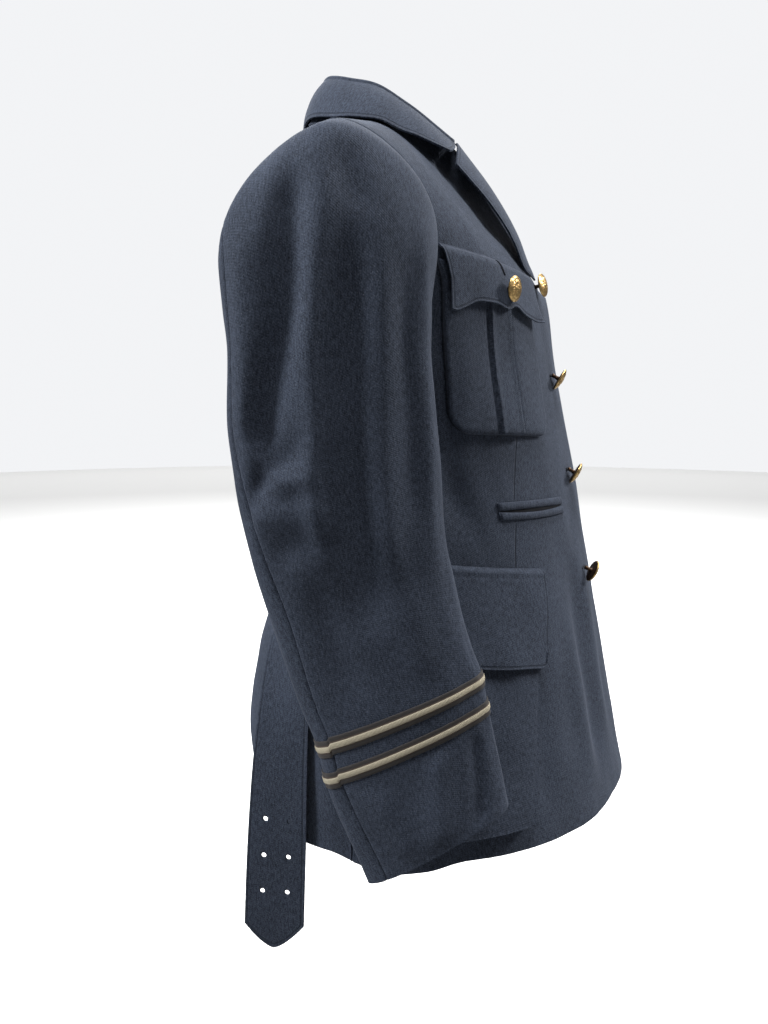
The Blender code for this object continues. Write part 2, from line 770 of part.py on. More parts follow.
def make_braids():
    """Two rank braids go round each sleeve above the cuff."""
    for side in (RIGHT, LEFT):
        for place_name, along in BRAID_PLACES.items():

            def place(u, v, side=side, along=along):
                level = along + (v - 0.5) * BRAID_WIDTH
                column = round(u * BRAID_CELLS[0]) % BRAID_CELLS[0]
                return to_world(sleeve_laid(level, column, LAY_GAP + BRAID_WALL), side)

            maker = grid(BRAID_CELLS, place)
            bmesh.ops.remove_doubles(maker, verts=maker.verts[:], dist=0.00001)
            if side == LEFT:
                bmesh.ops.reverse_faces(maker, faces=maker.faces[:])
            walled(f"braid_{place_name}_{SIDE_NAMES[side]}", maker, BRAID_WALL, "braid")


def neck_seam(share):
    """Neck edge of the body from the centre back, 0, to the collar's front end, 1."""
    neck_point = 0.5
    if share < neck_point:
        q = NECK_HALF * share / neck_point
        height = shoulder_height(q) - BACK_NECK_DROP * (1 - (q / NECK_HALF) ** 3)
        return np.array([q, float(back_forward(q, height)), height])
    left_over = 1 - (share - neck_point) / (1 - neck_point)
    height = ROLL[6].height * (1 - left_over) ** 2
    return np.array([float(ROLL_AT["q"](height)), float(ROLL_AT["forward"](height)), height])


def collar_place(u, v):
    """Collar cloth: u runs round the neck, v up the stand, over the fold, down the leaf."""
    share = abs(2 * u - 1)
    row = {name: float(curve(share)) for name, curve in COLLAR_AT.items()}
    base = neck_seam(share) + np.array([-1.0, 0, COLLAR_SEAM_LIFT])
    fold = np.array([row["fold_q"], row["fold_f"], row["fold_h"]])
    edge = np.array([row["edge_q"], row["edge_f"], row["edge_h"]])
    swell = np.array([abs(row["swell_f"]) * 0.4, row["swell_f"], row["swell_h"]])
    if share < 0.02:
        swell[0] = 0.0
    flat = np.array([edge[0] - fold[0], edge[1] - fold[1], 0.0])
    away = flat / np.linalg.norm(flat)
    centre = fold - np.array([0, 0, FOLD_RADIUS])
    stand_end, fold_end = 0.3, 0.55
    if v <= stand_end:
        top = centre - away * FOLD_RADIUS * 0.3
        point = base + (top - base) * (v / stand_end)
    elif v <= fold_end:
        turn = pi * (v - stand_end) / (fold_end - stand_end)
        side_way = away * FOLD_RADIUS * (0.7 - cos(turn))
        point = centre + side_way + np.array([0, 0, FOLD_RADIUS * sin(turn)])
    else:
        t = (v - fold_end) / (1 - fold_end)
        start = centre + away * FOLD_RADIUS * 1.7
        control = (start + edge) / 2 + swell * 2
        point = (1 - t) ** 2 * start + 2 * t * (1 - t) * control + t * t * edge
    side = RIGHT if u < 0.5 else LEFT
    return to_world(point, side)


def make_collar():
    walled("collar", grid(COLLAR_CELLS, collar_place), WALL)


def lapel_place(u, v, side_sign):
    """Lapel cloth: u runs up the roll line, v from the roll line to the outer edge."""
    row = {name: float(curve(u)) for name, curve in LAPEL_AT.items()}
    roll = np.array([row["roll_q"], row["roll_f"] + LAPEL_LIFT + WALL, row["roll_h"]])
    edge = np.array([row["edge_q"], row["edge_f"] + LAPEL_LIFT + WALL, row["edge_h"]])
    point = roll + (edge - roll) * v
    point[1] += 4 * row["swell"] * v * (1 - v)
    point[2] += 4 * row["lift"] * v * (1 - v)
    if side_sign == LEFT:
        near = 1 - smooth((point[0] - 15) / 75)
        low = 1 - smooth((point[2] + 110) / 60)
        point[1] -= UNDER_SET_BACK * near * low
    return to_world(point, side_sign)


def make_lapels():
    for side in (RIGHT, LEFT):
        sheet(
            f"lapel_{SIDE_NAMES[side]}",
            lambda u, v, side=side: lapel_place(u, v, side),
            LAPEL_CELLS,
            WALL,
            (0, 0.3, -0.1),
        )


def pocket_depth(base, full, turned_back):
    """Height of a pocket's cloth over the body: its edges turn back to the body."""
    return base if turned_back else full


def chest_pocket_out(down):
    """How far the chest pocket stands off the body, a share of the way down it."""
    return LAY_GAP + TRIM_WALL + 1.0 + 4.0 * down


def chest_pocket_place(u, v, side_sign):
    """Patch pocket with a box pleat. u runs from its front edge, v from its bottom."""
    border_u = 1 / CHEST_POCKET_CELLS[0]
    border_v = 1 / CHEST_POCKET_CELLS[1]
    turned_back = u < border_u / 2 or u > 1 - border_u / 2 or v < border_v / 2
    across = float(np.clip((u - border_u) / (1 - 2 * border_u), 0, 1))
    up = float(np.clip((v - border_v) / (1 - border_v), 0, 1))
    above = up * (CHEST_TOP - CHEST_BOTTOM)
    corner = EDGE_TURN if turned_back else 0.0
    if above < CHEST_CORNER:
        corner += CHEST_CORNER - sqrt(CHEST_CORNER**2 - (CHEST_CORNER - above) ** 2)
    around = CHEST_FRONT + corner + across * (CHEST_REAR - CHEST_FRONT - 2 * corner)
    height = CHEST_BOTTOM + above - CHEST_TILT * (CHEST_REAR - around)
    if v < border_v / 2:
        height += EDGE_TURN
    from_middle = abs(around - (CHEST_FRONT + CHEST_REAR) / 2)
    pleat = PLEAT_RISE * float(smooth((PLEAT_HALF + 2 - from_middle) / 4))
    out = pocket_depth(LAY_GAP + TRIM_WALL, chest_pocket_out(1 - up) + pleat, turned_back)
    return to_world(laid(around, height, out, side_sign), side_sign)


def flap_down(v, length, steps):
    """Distance of a flap's grid row below its top."""
    return length * steps[round((1 - v) * (len(steps) - 1))]


def flap_out(down, pocket_full):
    """How far a flap stands off the body: it lies over its pocket."""
    start = LAY_GAP + TRIM_WALL
    over = pocket_full + LAY_GAP + TRIM_WALL
    return start + (over - start) * float(smooth(down / 7))


def chest_flap_place(u, v, side_sign):
    """Scalloped flap. u runs from its front end, v from its lower edge to its top."""
    length = float(CHEST_FLAP_AT["length"](u))
    down = flap_down(v, length, CHEST_FLAP_STEPS)
    spread = CHEST_FLAP_SPREAD * u * down / length
    around = CHEST_FLAP_FRONT + u * (CHEST_FLAP_REAR - CHEST_FLAP_FRONT) + spread
    height = CHEST_FLAP_TOP - down - CHEST_FLAP_TILT * (CHEST_REAR - around)
    pocket = chest_pocket_out(max(0.0, (down - 16) / 164)) + PLEAT_RISE
    out = flap_out(down, pocket) + CHEST_FLAP_FLARE * (down / length) ** 2
    return to_world(laid(around, height, out, side_sign), side_sign)


def make_chest_pockets():
    for side in (RIGHT, LEFT):
        name = SIDE_NAMES[side]
        one_side_sheet(f"chest_pocket_{name}", chest_pocket_place, CHEST_POCKET_CELLS, side)
        one_side_sheet(f"chest_flap_{name}", chest_flap_place, (12, 4), side)


def lower_pocket_out(down):
    return LAY_GAP + TRIM_WALL + 2.0 + 9.0 * down


def lower_pocket_place(u, v, side_sign):
    """Bellows pocket: its lower edge stands well off the skirt."""
    border_u = 1 / LOWER_POCKET_CELLS[0]
    border_v = 1 / LOWER_POCKET_CELLS[1]
    turned_back = u < border_u / 2 or u > 1 - border_u / 2 or v < border_v / 2
    across = float(np.clip((u - border_u) / (1 - 2 * border_u), 0, 1))
    up = float(np.clip((v - border_v) / (1 - border_v), 0, 1))
    height = LOWER_BOTTOM + up * (LOWER_TOP - LOWER_BOTTOM)
    front = float(LOWER_AT["front"](height))
    rear = float(LOWER_AT["rear"](height))
    inset = EDGE_TURN * 2 if turned_back else 0.0
    around = front + inset + across * (rear - front - 2 * inset)
    height -= float(LOWER_AT["tilt"](height)) * (rear - around)
    if v < border_v / 2:
        height += EDGE_TURN * 3
    out = pocket_depth(LAY_GAP + TRIM_WALL, lower_pocket_out(1 - up), turned_back)
    return to_world(laid(around, height, out, side_sign), side_sign)


def lower_flap_place(u, v, side_sign):
    """Plain flap over the bellows pocket."""
    down = flap_down(v, LOWER_FLAP_LENGTH, LOWER_FLAP_STEPS)
    level = LOWER_FLAP_TOP - down
    front = float(LOWER_AT["front"](level)) - 3
    rear = float(LOWER_AT["rear"](level)) + 3
    around = front + u * (rear - front)
    height = level - float(LOWER_AT["tilt"](level)) * (rear - around)
    pocket = lower_pocket_out(max(0.0, (down - 13) / 242))
    return to_world(laid(around, height, flap_out(down, pocket) + 1.5 * (1 - v), side_sign), side_sign)


def make_lower_pockets():
    for side in (RIGHT, LEFT):
        name = SIDE_NAMES[side]
        one_side_sheet(f"lower_pocket_{name}", lower_pocket_place, LOWER_POCKET_CELLS, side)
        one_side_sheet(f"lower_flap_{name}", lower_flap_place, (8, 4), side)


def make_slits():
    """A jetted slit at the waist: two folded lips."""
    for side in (RIGHT, LEFT):
        lips = (("upper", SLIT_GAP / 2, 0.0), ("lower", -SLIT_GAP / 2 - LIP_HEIGHT, LIP_SAG))
        for lip, base, sag in lips:

            def place(u, v, side=side, base=base, sag=sag):
                around = SLIT_FRONT + u * SLIT_LENGTH
                height = SLIT_HEIGHT + base + v * LIP_HEIGHT
                height -= SLIT_TILT * u * SLIT_LENGTH + sag * sin(pi * u)
                out = LAY_GAP + TRIM_WALL + LIP_RISE * sin(pi * v)
                return to_world(laid(around, height, out, side), side)

            sheet(f"slit_lip_{lip}_{SIDE_NAMES[side]}", place, (6, 2), TRIM_WALL, BODY_INSIDE)


def make_button(name, shank, base, face):
    """A domed metal button on its shank, turned about its own axis."""
    maker = bmesh.new()
    profile = [(0, 0), (SHANK_RADIUS, 0), (SHANK_RADIUS, shank)]
    profile += [(radius, shank + height) for radius, height in BUTTON_HEAD]
    rim = [maker.verts.new((radius * MM, 0, height * MM)) for radius, height in profile]
    chain = [maker.edges.new(pair) for pair in zip(rim, rim[1:])]
    bmesh.ops.spin(
        maker,
        geom=rim + chain,
        axis=(0, 0, 1),
        cent=(0, 0, 0),
        angle=2 * pi,
        steps=BUTTON_SIDES,
        use_merge=True,
    )
    bmesh.ops.remove_doubles(maker, verts=maker.verts[:], dist=0.00001)
    bmesh.ops.recalc_face_normals(maker, faces=maker.faces[:])
    turn = face.to_track_quat("Z", "Y").to_matrix().to_4x4()
    bmesh.ops.transform(maker, matrix=Matrix.Translation(base) @ turn, verts=maker.verts[:])
    add_object(name, maker, "brass")


def make_buttons():
    """Four buttons close the fronts, and one closes each chest flap."""
    for number, row in enumerate(FRONT_BUTTONS, 1):
        normal = ring_normal(row.around, row.height, RIGHT)
        turn = radians(row.turn)
        forward, sideways = normal[1], normal[0]
        turned_q = cos(turn) * sideways + sin(turn) * forward
        level = np.array([turned_q, cos(turn) * forward - sin(turn) * sideways, 0])
        face = level * cos(radians(row.droop)) - np.array([0, 0, sin(radians(row.droop))])
        tilt = acos(float(face @ normal))
        plate = BUTTON_HEAD[0]
        reach = plate[0] * sin(tilt) - (FRONT_SHANK + plate[1]) * cos(tilt)
        lift = BUTTON_GAP + max(SHANK_RADIUS * sin(tilt), reach) - row.sink
        base = laid(row.around, row.height, lift, RIGHT)
        aim = to_world(face, RIGHT).normalized()
        make_button(f"front_button_{number}", FRONT_SHANK, to_world(base, RIGHT), aim)
    for side in (RIGHT, LEFT):
        around = CHEST_BUTTON_AROUND
        height = CHEST_FLAP_TOP - CHEST_BUTTON_DROP - CHEST_FLAP_TILT * (CHEST_REAR - around)
        pocket = chest_pocket_out((CHEST_BUTTON_DROP - 16) / 164) + PLEAT_RISE
        length = float(CHEST_FLAP_AT["length"](0.5))
        out = flap_out(CHEST_BUTTON_DROP, pocket) + CHEST_FLAP_FLARE * (CHEST_BUTTON_DROP / length) ** 2
        face = ring_normal(around, height, side)
        base = laid(around, height, out + LAY_GAP + 0.3, side)
        aim = to_world(face, side).normalized()
        make_button(f"chest_button_{SIDE_NAMES[side]}", CHEST_SHANK, to_world(base, side), aim)


def belt_back_place(u, v):
    """Belt across the back waist. Its ends are cut slantwise at the folds."""
    side = RIGHT if u < 0.5 else LEFT
    share = abs(2 * u - 1)
    reach = BELT_FOLD + (1 - v) * BELT_WIDTH
    height = BELT_HEIGHT + (v - 0.5) * BELT_WIDTH
    total = half_ring(round(height, 3), side)[2][-1]
    return to_world(laid(total - share * reach, height, BELT_OUT, side), side)


def belt_end_place(u, v, side_sign, end, point):
    """Free end of the belt. u runs from its rear edge, v from its tip to its fold."""
    across = (u - 0.5) * BELT_WIDTH
    top = BELT_HEIGHT + BELT_WIDTH / 2 - u * BELT_WIDTH
    tip = end + point * abs(2 * u - 1) ** 1.5
    height = tip + v * (top - tip)
    level = max(height, HEM + 6)
    total = half_ring(round(level, 3), side_sign)[2][-1]
    around = total - BELT_FOLD - BELT_WIDTH / 2 - across
    on_body = laid(around, level, BELT_OUT + LAY_GAP + TRIM_WALL, side_sign)
    on_body[2] = height
    row = {name: float(curve(height)) for name, curve in HANG_AT.items()}
    turn = radians(row["turn"])
    hanging = np.array([row["q"] + across * sin(turn), row["forward"] + across * cos(turn), height])
    weight = float(smooth((HANG_FROM - height) / (HANG_FROM - HANG_TO)))
    return to_world(on_body * (1 - weight) + hanging * weight, side_sign)


def make_belt():
    sheet("belt_back", belt_back_place, (20, 2), TRIM_WALL, (0, 0.0, -0.43))
    for side, end, point in ((RIGHT, BELT_END, BELT_POINT), (LEFT, BUCKLE_END, 0.0)):
        sheet(
            f"belt_end_{SIDE_NAMES[side]}",
            lambda u, v, side=side, end=end, point=point: belt_end_place(u, v, side, end, point),
            (4, 12),
            TRIM_WALL,
            BODY_INSIDE,
        )
    cut_belt_holes()
    make_buckle()


def cut_belt_holes():
    """Six holes are punched through the pointed end, in two columns."""
    belt = bpy.data.objects["belt_end_right"]
    maker = bmesh.new()
    for height in HOLE_ROWS:
        row = {name: float(curve(height)) for name, curve in HANG_AT.items()}
        turn = radians(row["turn"])
        for across in (-HOLE_COLUMN, HOLE_COLUMN):
            centre = np.array([row["q"] + across * sin(turn), row["forward"] + across * cos(turn), height])
            face = to_world(np.array([cos(turn), -sin(turn), 0]), RIGHT).normalized()
            turned = face.to_track_quat("Z", "Y").to_matrix().to_4x4()
            place = Matrix.Translation(to_world(centre, RIGHT)) @ turned
            bmesh.ops.create_cone(
                maker,
                cap_ends=True,
                segments=6,
                radius1=HOLE_RADIUS * MM,
                radius2=HOLE_RADIUS * MM,
                depth=12 * MM,
                matrix=place,
            )
    punch = add_object("belt_punch", maker, "wool")
    punch.hide_render = True
    punch.display_type = "WIRE"
    holes = belt.modifiers.new("holes", "BOOLEAN")
    holes.operation = "DIFFERENCE"
    holes.object = punch


def make_buckle():
    """A two-pronged frame buckle hangs on the belt's other end."""
    row = {name: float(curve(BUCKLE_END)) for name, curve in HANG_AT.items()}
    turn = radians(row["turn"])
    along_belt = to_world(np.array([sin(turn), cos(turn), 0]), LEFT).normalized()
    face = to_world(np.array([cos(turn), -sin(turn), 0]), LEFT).normalized()
    drop = along_belt.cross(face)
    if drop.z > 0:
        drop.negate()
    middle = to_world(np.array([row["q"], row["forward"], BUCKLE_END]), LEFT)
    middle = middle + drop * (BUCKLE_DEPTH / 2 + BUCKLE_WIRE + BUCKLE_GAP) * MM
    middle = middle - face * BUCKLE_WIRE * 0.3 * MM
    maker = bmesh.new()
    half_w = BUCKLE_WIDTH / 2 * MM
    half_d = BUCKLE_DEPTH / 2 * MM
    corner = 6 * MM
    loop = []
    for sign_w, sign_d, start in ((1, 1, 0), (-1, 1, 90), (-1, -1, 180), (1, -1, 270)):
        for step in (0, 45, 90):
            angle = radians(start + step)
            w = sign_w * (half_w - corner) + corner * cos(angle)
            d = sign_d * (half_d - corner) + corner * sin(angle)
            loop.append((w, d))
    rings = []
    for w, d in loop:
        length = Vector((w / half_w, d / half_d)).normalized()
        out = (along_belt * length.x + drop * length.y).normalized()
        centre = middle + along_belt * w + drop * d
        ways = [out * cos(k * pi / 3) + face * sin(k * pi / 3) for k in range(6)]
        rings.append([maker.verts.new(centre + way * BUCKLE_WIRE * MM) for way in ways])
    for here, there in zip(rings, rings[1:] + rings[:1]):
        for k in range(6):
            maker.faces.new((here[k], here[(k + 1) % 6], there[(k + 1) % 6], there[k]))
    bmesh.ops.recalc_face_normals(maker, faces=maker.faces[:])
    add_object("belt_buckle", maker, "brass")
    for number, across in enumerate((-HOLE_COLUMN, HOLE_COLUMN), 1):
        prong = bmesh.new()
        below_top = BUCKLE_WIRE + PRONG_RADIUS
        stand_off = (BUCKLE_WIRE + PRONG_RADIUS + LAY_GAP) / 2
        centre = middle + (along_belt * across + drop * below_top + face * stand_off) * MM
        lean = (drop + face * PRONG_LEAN).normalized()
        bmesh.ops.create_cone(
            prong,
            cap_ends=True,
            segments=8,
            radius1=PRONG_RADIUS * MM,
            radius2=PRONG_RADIUS * 0.7 * MM,
            depth=(BUCKLE_DEPTH - 2 * BUCKLE_WIRE - 1) * MM,
            matrix=Matrix.Translation(centre) @ lean.to_track_quat("Z", "Y").to_matrix().to_4x4(),
        )
        add_object(f"buckle_prong_{number}", prong, "brass")


def main():
    clear_workspace()
    make_panels()
    make_braids()
    make_collar()
    make_lapels()
    make_chest_pockets()
    make_lower_pockets()
    make_slits()
    make_buttons()
    make_belt()


main()
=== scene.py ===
"""Dresses the pilot uniform jacket: wool panels with their folds, braids, buttons and belt.

Sizes are in millimetres and become metres where a mesh is made. A point of the cloth is
(q, forward, height), as in the part's source: q is the distance from the centre plane
towards the side that is built, forward is where the wearer looks, and height counts up
from the neck points.
"""

import logging
from collections.abc import Callable, Sequence
from dataclasses import dataclass, field
from enum import Enum
from math import cos, pi, radians, sin

import bmesh
import bpy
import numpy as np
from mathutils import Matrix, Vector

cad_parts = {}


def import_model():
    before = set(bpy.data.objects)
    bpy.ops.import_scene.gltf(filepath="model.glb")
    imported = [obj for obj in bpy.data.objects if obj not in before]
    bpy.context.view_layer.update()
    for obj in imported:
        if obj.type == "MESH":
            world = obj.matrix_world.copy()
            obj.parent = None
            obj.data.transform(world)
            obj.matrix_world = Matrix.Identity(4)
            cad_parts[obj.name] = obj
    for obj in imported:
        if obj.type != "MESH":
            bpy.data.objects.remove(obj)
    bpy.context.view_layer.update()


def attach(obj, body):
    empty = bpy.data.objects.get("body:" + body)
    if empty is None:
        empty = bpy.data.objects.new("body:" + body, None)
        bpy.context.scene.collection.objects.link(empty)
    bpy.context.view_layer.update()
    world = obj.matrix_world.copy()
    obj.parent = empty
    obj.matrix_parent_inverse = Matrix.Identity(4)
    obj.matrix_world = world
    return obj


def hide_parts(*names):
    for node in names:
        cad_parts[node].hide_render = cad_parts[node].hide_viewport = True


LOG = logging.getLogger("jacket")
MM = 0.001
WALL = 2.0
TRIM_WALL = 1.6
BRAID_WALL = 1.0
LAY_GAP = 0.7

Colour = tuple[float, float, float]
Pair = tuple[float, float]


class Side(Enum):
    """A side of the jacket. Its value is the sign of X there."""

    RIGHT = -1
    LEFT = 1

    @property
    def label(self) -> str:
        """The side's name as the nodes have it."""
        return self.name.lower()


class Hold(Enum):
    """How a sheet of cloth is held."""

    HUNG = "hung"
    LAID = "laid"
    FOLDED = "folded"


class Slot(Enum):
    """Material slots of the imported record."""

    WOOL = "wool"
    BRAID = "rank_braid"
    BRASS = "brass"


def smooth(value: np.ndarray | float) -> np.ndarray:
    """A soft step from 0 to 1."""
    value = np.clip(value, 0.0, 1.0)
    return value * value * (3 - 2 * value)


def bell(distance: np.ndarray | float, width: float) -> np.ndarray:
    """A rounded bump, 1 at no distance."""
    return np.exp(-((np.asarray(distance) / width) ** 2))


class Curve:
    """A smooth curve through the rows of a table, without overshoot."""

    def __init__(self, keys: Sequence[float], values: Sequence[float]) -> None:
        """Find the slope at each key."""
        self.keys = np.array(keys, float)
        self.values = np.array(values, float)
        steps = np.diff(self.keys)
        grades = np.diff(self.values) / steps
        self.slopes = np.zeros(len(self.keys))
        self.slopes[0] = grades[0]
        self.slopes[-1] = grades[-1]
        for i in range(1, len(grades)):
            if grades[i - 1] * grades[i] > 0:
                first = 2 * steps[i] + steps[i - 1]
                second = steps[i] + 2 * steps[i - 1]
                self.slopes[i] = (first + second) / (first / grades[i - 1] + second / grades[i])

    def __call__(self, key: np.ndarray | float) -> np.ndarray:
        """Value of the curve at one or many keys."""
        key = np.clip(key, self.keys[0], self.keys[-1])
        i = np.clip(np.searchsorted(self.keys, key) - 1, 0, len(self.keys) - 2)
        step = self.keys[i + 1] - self.keys[i]
        t = (key - self.keys[i]) / step
        ends = (1 + 2 * t) * (1 - t) ** 2 * self.values[i] + t * t * (3 - 2 * t) * self.values[i + 1]
        turns = t * (1 - t) ** 2 * self.slopes[i] + t * t * (t - 1) * self.slopes[i + 1]
        return ends + step * turns


@dataclass(frozen=True)
class Table:
    """Named columns of sizes over a first column of keys."""

    names: str
    rows: tuple[tuple[float, ...], ...]

    def __post_init__(self) -> None:
        """Fit a curve to each column."""
        rows = sorted(self.rows)
        columns = list(zip(*rows))
        fitted = {name: Curve(columns[0], line) for name, line in zip(self.names.split(), columns[1:])}
        object.__setattr__(self, "fitted", fitted)

    def at(self, name: str, key: np.ndarray | float) -> np.ndarray:
        """Value of a column at one or many keys."""
        return self.fitted[name](key)


@dataclass(frozen=True)
class Fold:
    """A soft ridge along a line on the cloth. With a negative height it is a trough.

    The line is pairs of (place, level) with rising levels. A lying fold has rising
    places instead.
    """

    line: tuple[Pair, ...]
    height: float
    width: float
    fade: float = 50.0
    lying: bool = False

    def relief(self, place: np.ndarray, level: np.ndarray) -> np.ndarray:
        """Height of the fold at points of the cloth.

        Args:
            place: Distance or angle across the cloth.
            level: Distance along the cloth.

        Returns:
            The rise of the cloth at each point, in millimetres.
        """
        across, along = (level, place) if self.lying else (place, level)
        pairs = [(b, a) for a, b in self.line] if self.lying else list(self.line)
        centre = Curve([pair[1] for pair in pairs], [pair[0] for pair in pairs])(along)
        start = smooth((along - pairs[0][1]) / self.fade)
        end = smooth((pairs[-1][1] - along) / self.fade)
        return self.height * bell(across - centre, self.width) * start * end


def unevenness(place: np.ndarray, level: np.ndarray, phase: float) -> np.ndarray:
    """Small waves that keep a large panel from looking machined."""
    total = np.zeros(np.broadcast(place, level).shape)
    waves = ((61, 190, 0.34), (97, 260, 0.42), (38, 120, 0.16), (150, 90, 0.3), (27, 300, 0.1))
    for number, (wide, long, high) in enumerate(waves):
        start = phase * (number + 1.7)
        bend = 0.8 * np.sin(level / long * 2.1 + start * 1.3)
        total = total + high * np.sin(place / wide * 2 * pi + start + bend) * np.cos(level / long * 2 * pi + start)
    return total


def spread(cells: int, length: float, lips: tuple[bool, bool] = (True, True)) -> np.ndarray:
    """Shares along a cloth, set closer together near its sewn ends.

    Args:
        cells: Number of cells between the close ones.
        length: Length of the cloth in millimetres.
        lips: Whether the start and the end get close cells.

    Returns:
        Rising shares from 0 to 1.
    """
    near = np.array([0.0, 0.7, 1.5, 2.5, 4.0]) / length
    first = near if lips[0] else np.zeros(1)
    last = near if lips[1] else np.zeros(1)
    middle = np.linspace(first[-1], 1 - last[-1], cells + 1)
    return np.concatenate([first[:-1], middle, (1 - last[:-1])[::-1]])


def grid_normals(points: np.ndarray) -> np.ndarray:
    """Unit normals of a grid of points, from up the grid across along it."""
    up = np.gradient(points, axis=0)
    along = np.gradient(points, axis=1)
    normal = np.cross(up, along)
    length = np.linalg.norm(normal, axis=-1, keepdims=True)
    return normal / np.maximum(length, 1e-9)


def raised(points: np.ndarray, rise: np.ndarray) -> np.ndarray:
    """Points of a grid moved along its normals."""
    return points + grid_normals(points) * rise[..., None]


def to_world(points: np.ndarray, side: Side) -> np.ndarray:
    """Points of the cloth as scene coordinates in metres."""
    points = np.asarray(points, float)
    return np.stack([side.value * points[..., 0], -points[..., 1], points[..., 2]], axis=-1) * MM


class Nodes:
    """Adds and joins shader nodes in one tree."""

    def __init__(self, tree: bpy.types.NodeTree) -> None:
        """Keep the tree that is filled."""
        self.tree = tree

    def add(self, kind: str, **settings: object) -> bpy.types.Node:
        """A new node with its settings."""
        node = self.tree.nodes.new(kind)
        for name, value in settings.items():
            setattr(node, name, value)
        return node

    def feed(self, socket: bpy.types.NodeSocket, value: object) -> None:
        """Link a socket to another one, or set its own value."""
        if isinstance(value, bpy.types.NodeSocket):
            self.tree.links.new(value, socket)
        elif isinstance(value, tuple) and len(value) == 3 and socket.type == "RGBA":
            socket.default_value = (*value, 1.0)
        else:
            socket.default_value = value

    def math(self, operation: str, *values: object) -> bpy.types.NodeSocket:
        """The result of a Math node."""
        node = self.add("ShaderNodeMath", operation=operation)
        for socket, value in zip(node.inputs, values):
            self.feed(socket, value)
        return node.outputs[0]

    def mix(self, factor: object, first: object, second: object, blend: str = "MIX") -> bpy.types.NodeSocket:
        """The colour between two colours."""
        node = self.add("ShaderNodeMix", data_type="RGBA", blend_type=blend)
        self.feed(node.inputs[0], factor)
        self.feed(node.inputs[6], first)
        self.feed(node.inputs[7], second)
        return node.outputs[2]

    def step(self, value: object, start: float, end: float) -> bpy.types.NodeSocket:
        """A value mapped from start..end to a soft 0..1."""
        node = self.add("ShaderNodeMapRange", interpolation_type="SMOOTHSTEP")
        self.feed(node.inputs[0], value)
        node.inputs[1].default_value = start
        node.inputs[2].default_value = end
        return node.outputs[0]

    def noise(self, vector: object, scale: float, detail: float = 2.0, rough: float = 0.5) -> bpy.types.NodeSocket:
        """The value of a noise texture."""
        node = self.add("ShaderNodeTexNoise")
        self.feed(node.inputs["Vector"], vector)
        node.inputs["Scale"].default_value = scale
        node.inputs["Detail"].default_value = detail
        node.inputs["Roughness"].default_value = rough
        return node.outputs[0]

    def stretched(self, vector: object, scale: Colour, turn: float = 0.0) -> bpy.types.NodeSocket:
        """A vector that is scaled and turned in its plane."""
        node = self.add("ShaderNodeMapping")
        self.feed(node.inputs["Vector"], vector)
        node.inputs["Scale"].default_value = scale
        node.inputs["Rotation"].default_value = (0, 0, radians(turn))
        return node.outputs[0]

    def split(self, vector: object) -> bpy.types.NodeOutputs:
        """The parts of a vector."""
        node = self.add("ShaderNodeSeparateXYZ")
        self.feed(node.inputs[0], vector)
        return node.outputs

    def map_of(self, name: str) -> bpy.types.NodeSocket:
        """The piece's own UV map."""
        return self.add("ShaderNodeUVMap", uv_map=name).outputs[0]


def new_group(name: str, inputs: dict[str, object], outputs: Sequence[str]) -> tuple[bpy.types.NodeTree, Nodes]:
    """An empty shader node group.

    Args:
        name: The group's name.
        inputs: Default of each input. A None makes a vector input.
        outputs: Names of the value outputs.

    Returns:
        The group and a maker of its nodes.
    """
    tree = bpy.data.node_groups.new(name, "ShaderNodeTree")
    for label, default in inputs.items():
        kind = "NodeSocketVector" if default is None else "NodeSocketFloat"
        socket = tree.interface.new_socket(label, in_out="INPUT", socket_type=kind)
        if default is not None:
            socket.default_value = default
    for label in outputs:
        tree.interface.new_socket(label, in_out="OUTPUT", socket_type="NodeSocketFloat")
    return tree, Nodes(tree)


